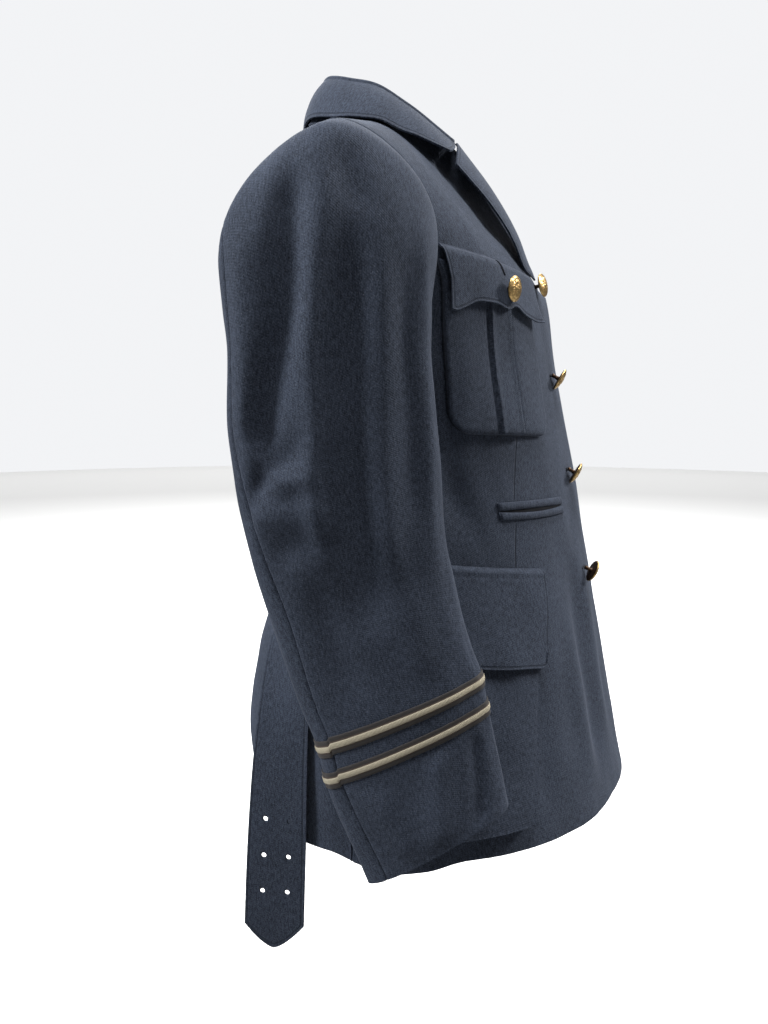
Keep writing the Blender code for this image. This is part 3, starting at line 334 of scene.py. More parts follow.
@dataclass
class Effects:
    """Shader node groups that several finishes share, built once."""

    groups: dict[str, bpy.types.NodeTree] = field(default_factory=dict)

    def grain(self) -> bpy.types.NodeTree:
        """Twill lines, lengthwise streaks, fuzz and pale flecks of a wool cloth."""
        if "grain" in self.groups:
            return self.groups["grain"]
        tree, make = new_group("WoolGrain", {"Vector": None}, ("Shade", "Fleck", "Height"))
        start = make.add("NodeGroupInput").outputs["Vector"]
        end = make.add("NodeGroupOutput")
        twill = make.add("ShaderNodeTexWave", wave_type="BANDS", bands_direction="X", wave_profile="SIN")
        make.feed(twill.inputs["Vector"], make.stretched(start, (1, 1, 1), 62))
        twill.inputs["Scale"].default_value = 180.0
        twill.inputs["Distortion"].default_value = 1.5
        twill.inputs["Detail"].default_value = 1.0
        twill.inputs["Detail Scale"].default_value = 3.0
        streak = make.noise(make.stretched(start, (1, 0.3, 1)), 560.0, 2.0, 0.65)
        fuzz = make.noise(start, 900.0, 1.0, 0.6)
        cloud = make.noise(make.stretched(start, (1, 0.5, 1)), 26.0, 3.0, 0.55)
        speck = make.noise(make.stretched(start, (1, 0.6, 1), 20), 1250.0, 0.0, 0.5)
        shade = make.math("MULTIPLY_ADD", streak, 0.55, make.math("MULTIPLY", fuzz, 0.5))
        shade = make.math("MULTIPLY_ADD", cloud, 0.16, shade)
        shade = make.math("MULTIPLY_ADD", twill.outputs["Fac"], 0.06, shade)
        make.feed(end.inputs["Shade"], make.step(shade, 0.42, 0.88))
        make.feed(end.inputs["Fleck"], make.step(speck, 0.62, 0.86))
        high = make.math("MULTIPLY_ADD", twill.outputs["Fac"], 0.35, make.math("MULTIPLY", fuzz, 0.8))
        make.feed(end.inputs["Height"], make.math("MULTIPLY_ADD", streak, 0.6, high))
        self.groups["grain"] = tree
        return tree

    def stitches(self) -> bpy.types.NodeTree:
        """A row of stitches that sinks into the cloth at a distance from its edge. Its sink mask also places painted
        shade in the groove.
        """
        if "stitches" in self.groups:
            return self.groups["stitches"]
        tree, make = new_group("StitchRow", {"Vector": None, "Distance": 5.0, "Pitch": 2.6}, ("Thread", "SinkAndShade"))
        start = make.add("NodeGroupInput")
        end = make.add("NodeGroupOutput")
        parts = make.split(start.outputs["Vector"])
        away = make.math("ABSOLUTE", make.math("SUBTRACT", parts[0], start.outputs["Distance"]))
        turn = make.math("FRACT", make.math("DIVIDE", parts[1], start.outputs["Pitch"]))
        middle = make.math("ABSOLUTE", make.math("SUBTRACT", turn, 0.5))
        row = make.step(away, 0.55, 0.2)
        make.feed(end.inputs["Thread"], make.math("MULTIPLY", row, make.step(middle, 0.42, 0.3)))
        make.feed(end.inputs["SinkAndShade"], make.step(away, 1.7, 0.1))
        self.groups["stitches"] = tree
        return tree

    def seam(self) -> bpy.types.NodeTree:
        """A pressed seam along the cloth, such as a dart."""
        if "seam" in self.groups:
            return self.groups["seam"]
        sizes = {"Vector": None, "Place": 0.0, "Bottom": 0.0, "Top": 1.0, "Lean": 0.0}
        tree, make = new_group("PressedSeam", sizes, ("Line",))
        start = make.add("NodeGroupInput").outputs
        end = make.add("NodeGroupOutput")
        parts = make.split(start["Vector"])
        passed = make.math("SUBTRACT", parts[1], start["Bottom"])
        place = make.math("MULTIPLY_ADD", passed, start["Lean"], start["Place"])
        away = make.math("ABSOLUTE", make.math("SUBTRACT", parts[0], place))
        line = make.step(away, 0.0013, 0.0004)
        above = make.step(passed, 0.0, 0.004)
        below = make.step(make.math("SUBTRACT", start["Top"], parts[1]), 0.0, 0.004)
        make.feed(end.inputs["Line"], make.math("MULTIPLY", line, make.math("MULTIPLY", above, below)))
        self.groups["seam"] = tree
        return tree

    def wear(self) -> bpy.types.NodeTree:
        """Patches that are duller than the rest of a metal."""
        if "wear" in self.groups:
            return self.groups["wear"]
        tree, make = new_group("MetalWear", {"Vector": None, "Scale": 260.0}, ("Dull", "Scratch"))
        start = make.add("NodeGroupInput").outputs
        end = make.add("NodeGroupOutput")
        spots = make.add("ShaderNodeTexNoise")
        make.feed(spots.inputs["Vector"], start["Vector"])
        make.feed(spots.inputs["Scale"], start["Scale"])
        make.feed(end.inputs["Dull"], make.step(spots.outputs[0], 0.42, 0.68))
        fine = make.noise(make.stretched(start["Vector"], (1, 6, 1), 30), 900.0, 2.0)
        make.feed(end.inputs["Scratch"], fine)
        self.groups["wear"] = tree
        return tree


EFFECTS = Effects()


def new_material(name: str) -> tuple[bpy.types.Material, Nodes, bpy.types.Node]:
    """A material with a Principled BSDF.

    Args:
        name: The material's name.

    Returns:
        The material, a maker of its nodes and its shader.
    """
    material = bpy.data.materials.new(name)
    material.use_nodes = True
    return material, Nodes(material.node_tree), material.node_tree.nodes["Principled BSDF"]


@dataclass(frozen=True)
class Dart:
    """A pressed seam on a panel: its two heights, its place at the bottom and its lean."""

    place: float
    bottom: float
    top: float
    lean: float


@dataclass(frozen=True)
class WoolFinish:
    """Heathered blue-grey wool twill with a soft nap."""

    deep: Colour = (0.0075, 0.011, 0.0195)
    pale: Colour = (0.050, 0.063, 0.094)
    fleck: Colour = (0.135, 0.15, 0.18)
    thread: Colour = (0.014, 0.018, 0.027)
    roughness: float = 0.9
    sheen: float = 0.07
    relief: float = 0.00035

    def build(
        self, name: str, stitch: float = 0.0, darts: tuple[Dart, ...] = (), painted_edge_shade: float = 0.0
    ) -> bpy.types.Material:
        """Make the finish for one piece.

        Args:
            name: The material's name.
            stitch: Distance of the edge stitching in millimetres, or 0 for none.
            painted_edge_shade: Strength of the painted shade along the cloth's sewn-down edges.
            darts: Pressed seams on the piece.

        Returns:
            The material.
        """
        material, make, shader = new_material(name)
        cloth = make.map_of("cloth")
        grain = make.add("ShaderNodeGroup", node_tree=EFFECTS.grain())
        make.feed(grain.inputs["Vector"], cloth)
        colour = make.mix(grain.outputs["Shade"], self.deep, self.pale)
        colour = make.mix(make.math("MULTIPLY", grain.outputs["Fleck"], 0.4), colour, self.fleck)
        height = grain.outputs["Height"]
        if stitch:
            row = make.add("ShaderNodeGroup", node_tree=EFFECTS.stitches())
            make.feed(row.inputs["Vector"], make.map_of("edge"))
            row.inputs["Distance"].default_value = stitch
            # Painted shade: the sunk groove along the stitches is darkened towards the deep colour.
            colour = make.mix(make.math("MULTIPLY", row.outputs["SinkAndShade"], 0.4), colour, self.deep)
            colour = make.mix(make.math("MULTIPLY", row.outputs["Thread"], 0.7), colour, self.thread)
            height = make.math("MULTIPLY_ADD", row.outputs["SinkAndShade"], -2.6, height)
            height = make.math("MULTIPLY_ADD", row.outputs["Thread"], 1.2, height)
        # Painted shade: the cloth within about 2 mm of its sewn edges is darkened almost to black.
        if painted_edge_shade:
            away = make.split(make.map_of("edge"))[0]
            edge_shade_mask = make.math("MULTIPLY", make.step(away, 2.2, 0.8), painted_edge_shade)
            colour = make.mix(edge_shade_mask, colour, (0.003, 0.004, 0.007))
        for dart in darts:
            seam = make.add("ShaderNodeGroup", node_tree=EFFECTS.seam())
            make.feed(seam.inputs["Vector"], cloth)
            for label, size in (("Place", dart.place), ("Bottom", dart.bottom), ("Top", dart.top)):
                seam.inputs[label].default_value = size * MM
            seam.inputs["Lean"].default_value = dart.lean
            colour = make.mix(make.math("MULTIPLY", seam.outputs["Line"], 0.75), colour, (0.004, 0.006, 0.012))
            height = make.math("MULTIPLY_ADD", seam.outputs["Line"], -3.5, height)
        bump = make.add("ShaderNodeBump")
        bump.inputs["Strength"].default_value = 0.55
        bump.inputs["Distance"].default_value = self.relief
        make.feed(bump.inputs["Height"], height)
        make.feed(shader.inputs["Base Color"], colour)
        make.feed(shader.inputs["Normal"], bump.outputs[0])
        shader.inputs["Roughness"].default_value = self.roughness
        shader.inputs["Specular IOR Level"].default_value = 0.25
        shader.inputs["Sheen Weight"].default_value = self.sheen
        shader.inputs["Sheen Roughness"].default_value = 0.45
        shader.inputs["Sheen Tint"].default_value = (0.62, 0.72, 0.95, 1)
        return material


@dataclass(frozen=True)
class BraidFinish:
    """Woven rank braid: a pale ribbed line between black-brown borders."""

    border: Colour = (0.0085, 0.006, 0.0055)
    rust: Colour = (0.05, 0.026, 0.012)
    line: Colour = (0.50, 0.45, 0.33)
    shade: Colour = (0.12, 0.095, 0.06)
    line_half: float = 2.5
    rib: float = 1.25

    def build(self, name: str) -> bpy.types.Material:
        """Make the finish. The cloth map holds the place round and across the braid."""
        material, make, shader = new_material(name)
        cloth = make.map_of("cloth")
        parts = make.split(cloth)
        away = make.math("ABSOLUTE", parts[1])
        pale = make.step(away, (self.line_half + 0.25) * MM, (self.line_half - 0.25) * MM)
        rim = make.step(make.math("ABSOLUTE", make.math("SUBTRACT", away, 3.1 * MM)), 0.9 * MM, 0.2 * MM)
        turn = make.math("FRACT", make.math("DIVIDE", parts[0], self.rib * MM))
        rib = make.step(make.math("ABSOLUTE", make.math("SUBTRACT", turn, 0.5)), 0.5, 0.12)
        weave = make.noise(make.stretched(cloth, (0.12, 1, 1)), 1500.0, 2.0)
        dark = make.mix(make.math("MULTIPLY", rim, 0.8), self.border, self.rust)
        dark = make.mix(make.math("MULTIPLY", weave, 0.5), dark, (0.03, 0.024, 0.022))
        light = make.mix(make.math("MULTIPLY_ADD", rib, 0.6, 0.4), self.shade, self.line)
        light = make.mix(make.math("MULTIPLY", weave, 0.35), light, self.shade)
        make.feed(shader.inputs["Base Color"], make.mix(pale, dark, light))
        high = make.math("MULTIPLY_ADD", pale, make.math("MULTIPLY_ADD", rib, 1.2, 1.0), weave)
        bump = make.add("ShaderNodeBump")
        bump.inputs["Strength"].default_value = 0.7
        bump.inputs["Distance"].default_value = 0.0003
        make.feed(bump.inputs["Height"], high)
        make.feed(shader.inputs["Normal"], bump.outputs[0])
        shader.inputs["Roughness"].default_value = 0.72
        shader.inputs["Sheen Weight"].default_value = 0.08
        return material


@dataclass(frozen=True)
class BrassFinish:
    """Gilt metal that is darker and duller where it has worn."""

    bright: Colour = (0.56, 0.385, 0.165)
    worn: Colour = (0.15, 0.085, 0.034)
    roughness: float = 0.3
    metallic: float = 1.0

    def build(self, name: str) -> bpy.types.Material:
        """Make the finish on object coordinates."""
        material, make, shader = new_material(name)
        place = make.add("ShaderNodeTexCoord").outputs["Object"]
        wear = make.add("ShaderNodeGroup", node_tree=EFFECTS.wear())
        make.feed(wear.inputs["Vector"], place)
        colour = make.mix(make.math("MULTIPLY", wear.outputs["Dull"], 0.75), self.bright, self.worn)
        rough = make.math("MULTIPLY_ADD", wear.outputs["Dull"], 0.28, self.roughness)
        bump = make.add("ShaderNodeBump")
        bump.inputs["Strength"].default_value = 0.25
        bump.inputs["Distance"].default_value = 0.0001
        make.feed(bump.inputs["Height"], wear.outputs["Scratch"])
        make.feed(shader.inputs["Base Color"], colour)
        make.feed(shader.inputs["Roughness"], rough)
        make.feed(shader.inputs["Normal"], bump.outputs[0])
        shader.inputs["Metallic"].default_value = self.metallic
        return material


@dataclass(frozen=True)
class PlainFinish:
    """Evenly painted floor and backdrop."""

    colour: Colour = (0.93, 0.93, 0.925)
    bounce: float = 0.3

    def build(self, name: str) -> bpy.types.Material:
        """Make the finish with a faint unevenness. It throws only part of its light back."""
        material, make, shader = new_material(name)
        place = make.add("ShaderNodeTexCoord").outputs["Object"]
        tone = make.mix(make.noise(place, 1.5), self.colour, tuple(part * 0.985 for part in self.colour))
        seen = make.add("ShaderNodeLightPath").outputs["Is Camera Ray"]
        dull = tuple(part * self.bounce for part in self.colour)
        make.feed(shader.inputs["Base Color"], make.mix(seen, dull, tone))
        shader.inputs["Roughness"].default_value = 0.9
        return material


@dataclass
class Cloth:
    """One sheet of cloth as a grid of points, rows going up and columns across."""

    name: str
    points: np.ndarray
    places: np.ndarray
    levels: np.ndarray
    side: Side = Side.RIGHT
    wall: float = WALL
    closed: bool = False
    inside: tuple[float, float, float] = (0.0, -0.05, -0.35)

    def edge_map(self, lips: tuple[bool, bool, bool, bool]) -> np.ndarray:
        """Distance of each point from the stitched edges, and its place along them.

        Args:
            lips: Whether the start and end of the rows, the bottom and the top are stitched.

        Returns:
            A grid of pairs in millimetres.
        """
        across = np.linalg.norm(np.diff(self.points, axis=1), axis=-1)
        across = np.concatenate([np.zeros((len(self.points), 1)), np.cumsum(across, axis=1)], axis=1)
        up = np.linalg.norm(np.diff(self.points, axis=0), axis=-1)
        up = np.concatenate([np.zeros((1, self.points.shape[1])), np.cumsum(up, axis=0)], axis=0)
        far = np.full(across.shape, 500.0)
        choices = [
            (across if lips[0] else far, up),
            (across[:, -1:] - across if lips[1] else far, up),
            (up if lips[2] else far, across),
            (up[-1:] - up if lips[3] else far, across),
        ]
        distances = np.stack([choice[0] for choice in choices])
        nearest = distances.argmin(axis=0)
        along = np.choose(nearest, [choice[1] for choice in choices])
        return np.stack([distances.min(axis=0), along], axis=-1)

    def build(
        self,
        material: bpy.types.Material,
        nodes: Sequence[str],
        hold: Hold,
        rests_on: Sequence[str] = (),
        lips: tuple[bool, bool, bool, bool] = (True, True, True, True),
        slot: Slot = Slot.WOOL,
    ) -> bpy.types.Object:
        """Make the piece, with its wall, maps and finish.

        Args:
            material: The piece's finish.
            nodes: CAD nodes that the piece stands for.
            hold: How the cloth is held. Not used.
            rests_on: Names of what it lies on or hangs from. Not used.
            lips: Which edges the edge map is measured from.
            slot: The record's slot of the finish. Not used.

        Returns:
            The finished object.
        """
        rows, columns = self.points.shape[:2]
        world = to_world(self.points, self.side)
        edges = self.edge_map(lips)
        maker = bmesh.new()
        bmesh.ops.create_grid(maker, x_segments=columns - 1, y_segments=rows - 1, size=1)
        cloth_map = maker.loops.layers.uv.new("cloth")
        edge_map = maker.loops.layers.uv.new("edge")
        for vertex in maker.verts:
            column = round((vertex.co.x + 1) / 2 * (columns - 1))
            row = round((vertex.co.y + 1) / 2 * (rows - 1))
            vertex.co = world[row, column]
            for loop in vertex.link_loops:
                loop[cloth_map].uv = (self.places[row, column] * MM, self.levels[row, column] * MM)
                loop[edge_map].uv = edges[row, column]
        if self.closed:
            bmesh.ops.remove_doubles(maker, verts=maker.verts[:], dist=0.00002)
        maker.normal_update()
        looks_out = 0.0
        for face in maker.faces:
            looks_out += face.normal.dot(face.calc_center_median() - Vector(self.inside)) * face.calc_area()
        if looks_out < 0:
            bmesh.ops.reverse_faces(maker, faces=maker.faces[:])
        piece = finished(self.name, maker, (material,), nodes)
        shell = piece.modifiers.new("wall", "SOLIDIFY")
        shell.thickness = self.wall * MM
        shell.offset = -1
        rounding = piece.modifiers.new("rounding", "BEVEL")
        rounding.width = 0.32 * self.wall * MM
        rounding.segments = 2
        rounding.limit_method = "ANGLE"
        rounding.angle_limit = radians(55)
        return piece


def finished(
    name: str,
    maker: bmesh.types.BMesh,
    materials: Sequence[bpy.types.Material],
    nodes: Sequence[str] = (),
) -> bpy.types.Object:
    """Link a piece at the origin and tie it to the frame.

    Args:
        name: The piece's name.
        maker: Its mesh, which is freed.
        materials: Its finishes.
        nodes: CAD nodes that it stands for.

    Returns:
        The new object.
    """
    mesh = bpy.data.meshes.new(name)
    maker.to_mesh(mesh)
    maker.free()
    for material in materials:
        mesh.materials.append(material)
    mesh.shade_smooth()
    piece = bpy.data.objects.new(name, mesh)
    bpy.context.scene.collection.objects.link(piece)
    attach(piece, "root")
    if nodes:
        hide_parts(*nodes)
    LOG.info("made %s: %d faces", name, len(mesh.polygons))
    return piece


@dataclass
class Torso:
    """The body's cloth as a surface that trims lie on.

    A place on it is a distance round the body from the centre front, and a height.
    """

    hem: float = -732.0
    armpit: float = -224.0
    break_height: float = -168.0
    neck_half: float = 75.0
    slope: float = 0.25
    front_turn: float = 100.0
    overlap: float = 16.0
    set_back: float = 8.0
    prow: float = 16.0
    prow_width: float = 90.0
    roll_spread: float = 50.0
    rings: Table = Table(
        "half_width front side back front_power back_power",
        (
            (-732, 215, 289, 40, -152, 1.85, 2.1),
            (-660, 206, 273, 35, -154, 1.85, 2.1),
            (-560, 190, 254, 25, -140, 1.85, 2.1),
            (-500, 177, 243, 18, -126, 1.85, 2.1),
            (-440, 168, 231, 12, -116, 1.85, 2.1),
            (-380, 168, 220, 4, -118, 1.85, 2.1),
            (-300, 177, 203, -8, -129, 1.85, 2.2),
            (-224, 188, 189, -24, -139, 1.85, 2.4),
            (-165, 197, 179, -28, -138, 1.85, 2.6),
            (-130, 203, 158, -30, -132, 1.85, 2.6),
            (-100, 212, 129, -30, -122, 1.85, 2.6),
            (-48, 232, 93, -26, -101, 1.85, 2.4),
            (0, 255, 70, -20, -84, 1.85, 2.2),
            (25, 265, 60, -18, -74, 1.85, 2.2),
        ),
    )
    side_seam: Table = Table("behind", ((-732, 74), (-440, 58), (-300, 30), (-224, 0)))
    roll: Table = Table(
        "q forward",
        (
            (-168, -16, 186),
            (-160, -9, 174),
            (-150, -4, 167),
            (-130, 4, 156),
            (-89, 20, 129),
            (-48, 38, 100),
            (-17, 55, 67),
            (-9, 64, 46),
            (-4, 70, 24),
            (-1, 74, 3),
            (0, 75, -15),
        ),
    )
    ridge: Table = Table("forward", ((-2, -2), (75, -15), (215, -41), (260, -50)))
    drop: Table = Table("down", ((0, 0), (310, 0), (350, 9), (385, 13), (420, 6), (450, 0), (600, 0)))
    hole_centre: float = -129.5
    hole_half_height: float = 94.5
    hole_half_depth: float = 71.0
    hole_forward: float = -24.0
    hole_shift: float = -17.0
    front_folds: tuple[Fold, ...] = (
        Fold(((46, -731), (40, -560), (36, -420)), 3.8, 17, 110),
        Fold(((84, -731), (76, -600), (66, -440)), -4.6, 17, 90),
        Fold(((124, -731), (112, -640), (98, -500)), 3.4, 16, 80),
        Fold(((205, -731), (190, -640), (182, -560)), -3.0, 18, 60),
        Fold(((440, -731), (420, -600), (396, -470)), -5.0, 20, 80),
        Fold(((404, -731), (380, -560), (366, -450)), 3.4, 16, 80),
        Fold(((212, -440), (226, -330), (214, -250)), -4.0, 17, 60),
        Fold(((262, -470), (262, -380), (250, -290)), 3.2, 15, 60),
    )
    back_folds: tuple[Fold, ...] = (
        Fold(((30, -731), (34, -600), (26, -480)), -4.4, 22, 90),
        Fold(((78, -731), (84, -610), (70, -490)), 4.4, 20, 90),
        Fold(((124, -731), (126, -620), (108, -500)), -4.6, 19, 90),
        Fold(((170, -731), (160, -640), (140, -520)), 3.0, 16, 80),
        Fold(((36, -425), (52, -360), (60, -290)), 3.0, 17, 50),
        Fold(((100, -420), (110, -350), (128, -260)), -3.8, 18, 60),
        Fold(((40, -398), (110, -392), (170, -380)), 2.4, 9, 45, True),
        Fold(((20, -370), (90, -362), (180, -350)), -2.4, 10, 45, True),
        Fold(((150, -260), (128, -200), (100, -150)), 3.2, 14, 40),
        Fold(((116, -280), (96, -200), (70, -140)), -3.0, 15, 50),
    )

    def __post_init__(self) -> None:
        """Measure the body's sections and lay out its surface."""
        self.ring_store: dict[tuple[float, Side], tuple[np.ndarray, np.ndarray, np.ndarray]] = {}
        self.heights = np.arange(-800.0, 44.0, 3.0)
        self.arounds = np.arange(-24.0, 760.0, 3.0)
        self.surface = {side: self.lay_out(side) for side in Side}

    def shoulder(self, q: np.ndarray | float) -> np.ndarray:
        """Height of the shoulder seam."""
        return self.slope * (self.neck_half - np.asarray(q, float))

    def bare_front(self, q: np.ndarray, height: np.ndarray) -> np.ndarray:
        """Forward place of the front before the lapel roll lifts it."""
        half = self.rings.at("half_width", height)
        side = self.rings.at("side", height)
        front = self.rings.at("front", height)
        power = self.rings.at("front_power", height)
        out = np.maximum(q, 0.0)
        round_part = np.clip(1 - (out / half) ** power, 0, 1) ** (1 / power)
        prow = self.prow * np.clip(1 - out / self.prow_width, 0, 1) ** 2
        past = np.maximum(-q, 0.0) * 2 * self.prow / self.prow_width
        full = side + (front - self.prow - side) * round_part + prow + past
        ridge = self.ridge.at("forward", out)
        share = np.clip((self.shoulder(q) - height) / self.front_turn, 0, 1)
        return ridge + (full - ridge) * np.sqrt(1 - (1 - share) ** 2)

    def front(self, q: np.ndarray, height: np.ndarray, side: Side = Side.RIGHT) -> np.ndarray:
        """Forward place of a front. The left front passes under the right one."""
        q = np.asarray(q, float)
        height = np.asarray(height, float)
        roll_q = self.roll.at("q", height)
        rise = self.roll.at("forward", height) - self.bare_front(roll_q, height)
        away = np.clip(1 - np.maximum(q - roll_q, 0) / self.roll_spread, 0, 1) ** 2
        lifted = np.where(height > self.break_height, rise * away, 0.0)
        if side is Side.LEFT:
            near = 1 - smooth((np.abs(q) - 15) / 75)
            low = 1 - smooth((height + 110) / 60)
            return self.bare_front(np.abs(q), height) + lifted - self.set_back * near * low
        return self.bare_front(q, height) + lifted

    def back(self, q: np.ndarray, height: np.ndarray) -> np.ndarray:
        """Forward place of a back half."""
        half = self.rings.at("half_width", height)
        side = self.rings.at("side", height)
        back = self.rings.at("back", height)
        power = self.rings.at("back_power", height)
        full = side + (back - side) * np.clip(1 - (q / half) ** power, 0, 1) ** (1 / power)
        ridge = self.ridge.at("forward", q)
        depth = 8 + 70 * smooth((q - 40) / 130)
        share = np.clip((self.shoulder(q) - height) / depth, 0, 1)
        return ridge + (full - ridge) * (1 - (1 - share) ** 2.5) ** 0.4

    def ring(self, height: float, side: Side) -> tuple[np.ndarray, np.ndarray, np.ndarray]:
        """The level section of one side, from past the centre front to past the centre back.

        Args:
            height: Height of the section.
            side: Side that is built.

        Returns:
            Its distances from the centre plane, forward places and distances round it.
        """
        key = (round(float(height), 3), side)
        if key not in self.ring_store:
            half = float(self.rings.at("half_width", height))
            steps = np.linspace(0, 1, 81)
            start = np.linspace(-self.overlap - 8, 0, 8)[:-1]
            front_q = np.concatenate([start, half * np.sin(steps * pi / 2)])
            front_f = self.front(front_q, np.full(len(front_q), float(height)), side)
            power = float(self.rings.at("back_power", height))
            widest = float(self.rings.at("side", height))
            back = float(self.rings.at("back", height))
            angles = steps[1:] * pi / 2
            back_q = half * np.cos(angles) ** (2 / power)
            back_q[-1] = 0.0
            back_f = widest + (back - widest) * np.sin(angles) ** (2 / power)
            q = np.concatenate([front_q, back_q, -back_q[-20:-1][::-1]])
            f = np.concatenate([front_f, back_f, back_f[-20:-1][::-1]])
            lengths = np.concatenate([[0], np.cumsum(np.hypot(np.diff(q), np.diff(f)))])
            self.ring_store[key] = (q, f, lengths - lengths[7])
        return self.ring_store[key]

    def widest(self, height: float, side: Side) -> float:
        """Distance round to the widest point."""
        return float(self.ring(height, side)[2][87])

    def total(self, height: float, side: Side) -> float:
        """Distance round to the centre back."""
        return float(self.ring(height, side)[2][167])

    def seam(self, height: float, side: Side) -> float:
        """Distance round to the side seam."""
        return self.widest(height, side) + float(self.side_seam.at("behind", height))

    def relief(self, around: np.ndarray, height: np.ndarray, side: Side, total: np.ndarray) -> np.ndarray:
        """Folds of the cloth.

        Args:
            around: Distance round from the centre front.
            height: Height of each point.
            side: Side that is built.
            total: Distance round to the centre back at each height.

        Returns:
            The rise of the cloth, in millimetres.
        """
        shift = 0.0 if side is Side.RIGHT else 9.0
        rise = sum(fold.relief(around + shift, height) for fold in self.front_folds)
        rise = rise + sum(fold.relief(total - around + shift * 0.7, height) for fold in self.back_folds)
        rise = rise + unevenness(around, height, 1.0 if side is Side.RIGHT else 2.3)
        return rise * smooth((40 - height) / 120)

    def lay_out(self, side: Side) -> tuple[np.ndarray, np.ndarray, np.ndarray]:
        """The surface of one side: its bare points, its folded points and their normals."""
        bare = np.zeros((len(self.heights), len(self.arounds), 3))
        totals = np.zeros((len(self.heights), 1))
        for row, height in enumerate(self.heights):
            q, f, lengths = self.ring(height, side)
            bare[row, :, 0] = np.interp(self.arounds, lengths, q)
            bare[row, :, 1] = np.interp(self.arounds, lengths, f)
            bare[row, :, 2] = height
            totals[row] = self.total(height, side)
        grid_around, grid_height = np.meshgrid(self.arounds, self.heights)
        folded = raised(bare, self.relief(grid_around, grid_height, side, totals))
        return bare, folded, grid_normals(folded)

    def skin(
        self, around: np.ndarray, height: np.ndarray, side: Side, out: np.ndarray | float = 0.0
    ) -> np.ndarray:
        """Points that lie on the folded cloth, moved out by a distance.

        Args:
            around: Distance round from the centre front.
            height: Height of each point.
            side: Side that is built.
            out: Distance off the cloth.

        Returns:
            An array of points.
        """
        _, folded, normals = self.surface[side]
        around, height, out = np.broadcast_arrays(*[np.asarray(part, float) for part in (around, height, out)])
        x = np.clip((around - self.arounds[0]) / 3.0, 0, len(self.arounds) - 1.001)
        y = np.clip((height - self.heights[0]) / 3.0, 0, len(self.heights) - 1.001)
        i, j = x.astype(int), y.astype(int)
        s, t = (x - i)[..., None], (y - j)[..., None]

        def between(values: np.ndarray) -> np.ndarray:
            low = values[j, i] * (1 - s) + values[j, i + 1] * s
            high = values[j + 1, i] * (1 - s) + values[j + 1, i + 1] * s
            return low * (1 - t) + high * t

        normal = between(normals)
        normal = normal / np.maximum(np.linalg.norm(normal, axis=-1, keepdims=True), 1e-9)
        return between(folded) + normal * out[..., None]

    def skin_normal(self, around: float, height: float, side: Side) -> np.ndarray:
        """Outward direction of the folded cloth at one place."""
        both = self.skin(around, height, side, np.array([0.0, 1.0]))
        return both[1] - both[0]

    def armhole(self, angle: np.ndarray) -> np.ndarray:
        """Points of the armhole edge: 0 is its foremost point, 90 the shoulder tip."""
        turn = np.radians(np.asarray(angle, float))
        height = self.hole_centre + self.hole_half_height * np.sin(turn)
        shift = self.hole_shift * np.maximum(0.0, np.sin(turn)) ** 2
        forward = self.hole_forward + shift + self.hole_half_depth * np.cos(turn)
        ahead = np.cos(turn) >= 0
        low = np.full(turn.shape, 100.0)
        high = np.minimum(self.rings.at("half_width", height), self.neck_half - height / self.slope)
        for _ in range(40):
            middle = (low + high) / 2
            gap = np.where(ahead, self.front(middle, height), self.back(middle, height)) - forward
            inner = np.where(ahead, gap > 0, gap < 0)
            low = np.where(inner, middle, low)
            high = np.where(inner, high, middle)
        return np.stack([(low + high) / 2, forward, height], axis=-1)

    def around_of(self, q: np.ndarray, height: np.ndarray, side: Side, behind: bool) -> np.ndarray:
        """Distance round of points that are given by their distance from the centre plane."""
        found = []
        for place, level in zip(q, height):
            ring_q, _, lengths = self.ring(round(level / 2) * 2.0, side)
            if behind:
                found.append(np.interp(-place, -ring_q[87:168], lengths[87:168]))
            else:
                found.append(np.interp(place, ring_q[:88], lengths[:88]))
        return np.array(found)


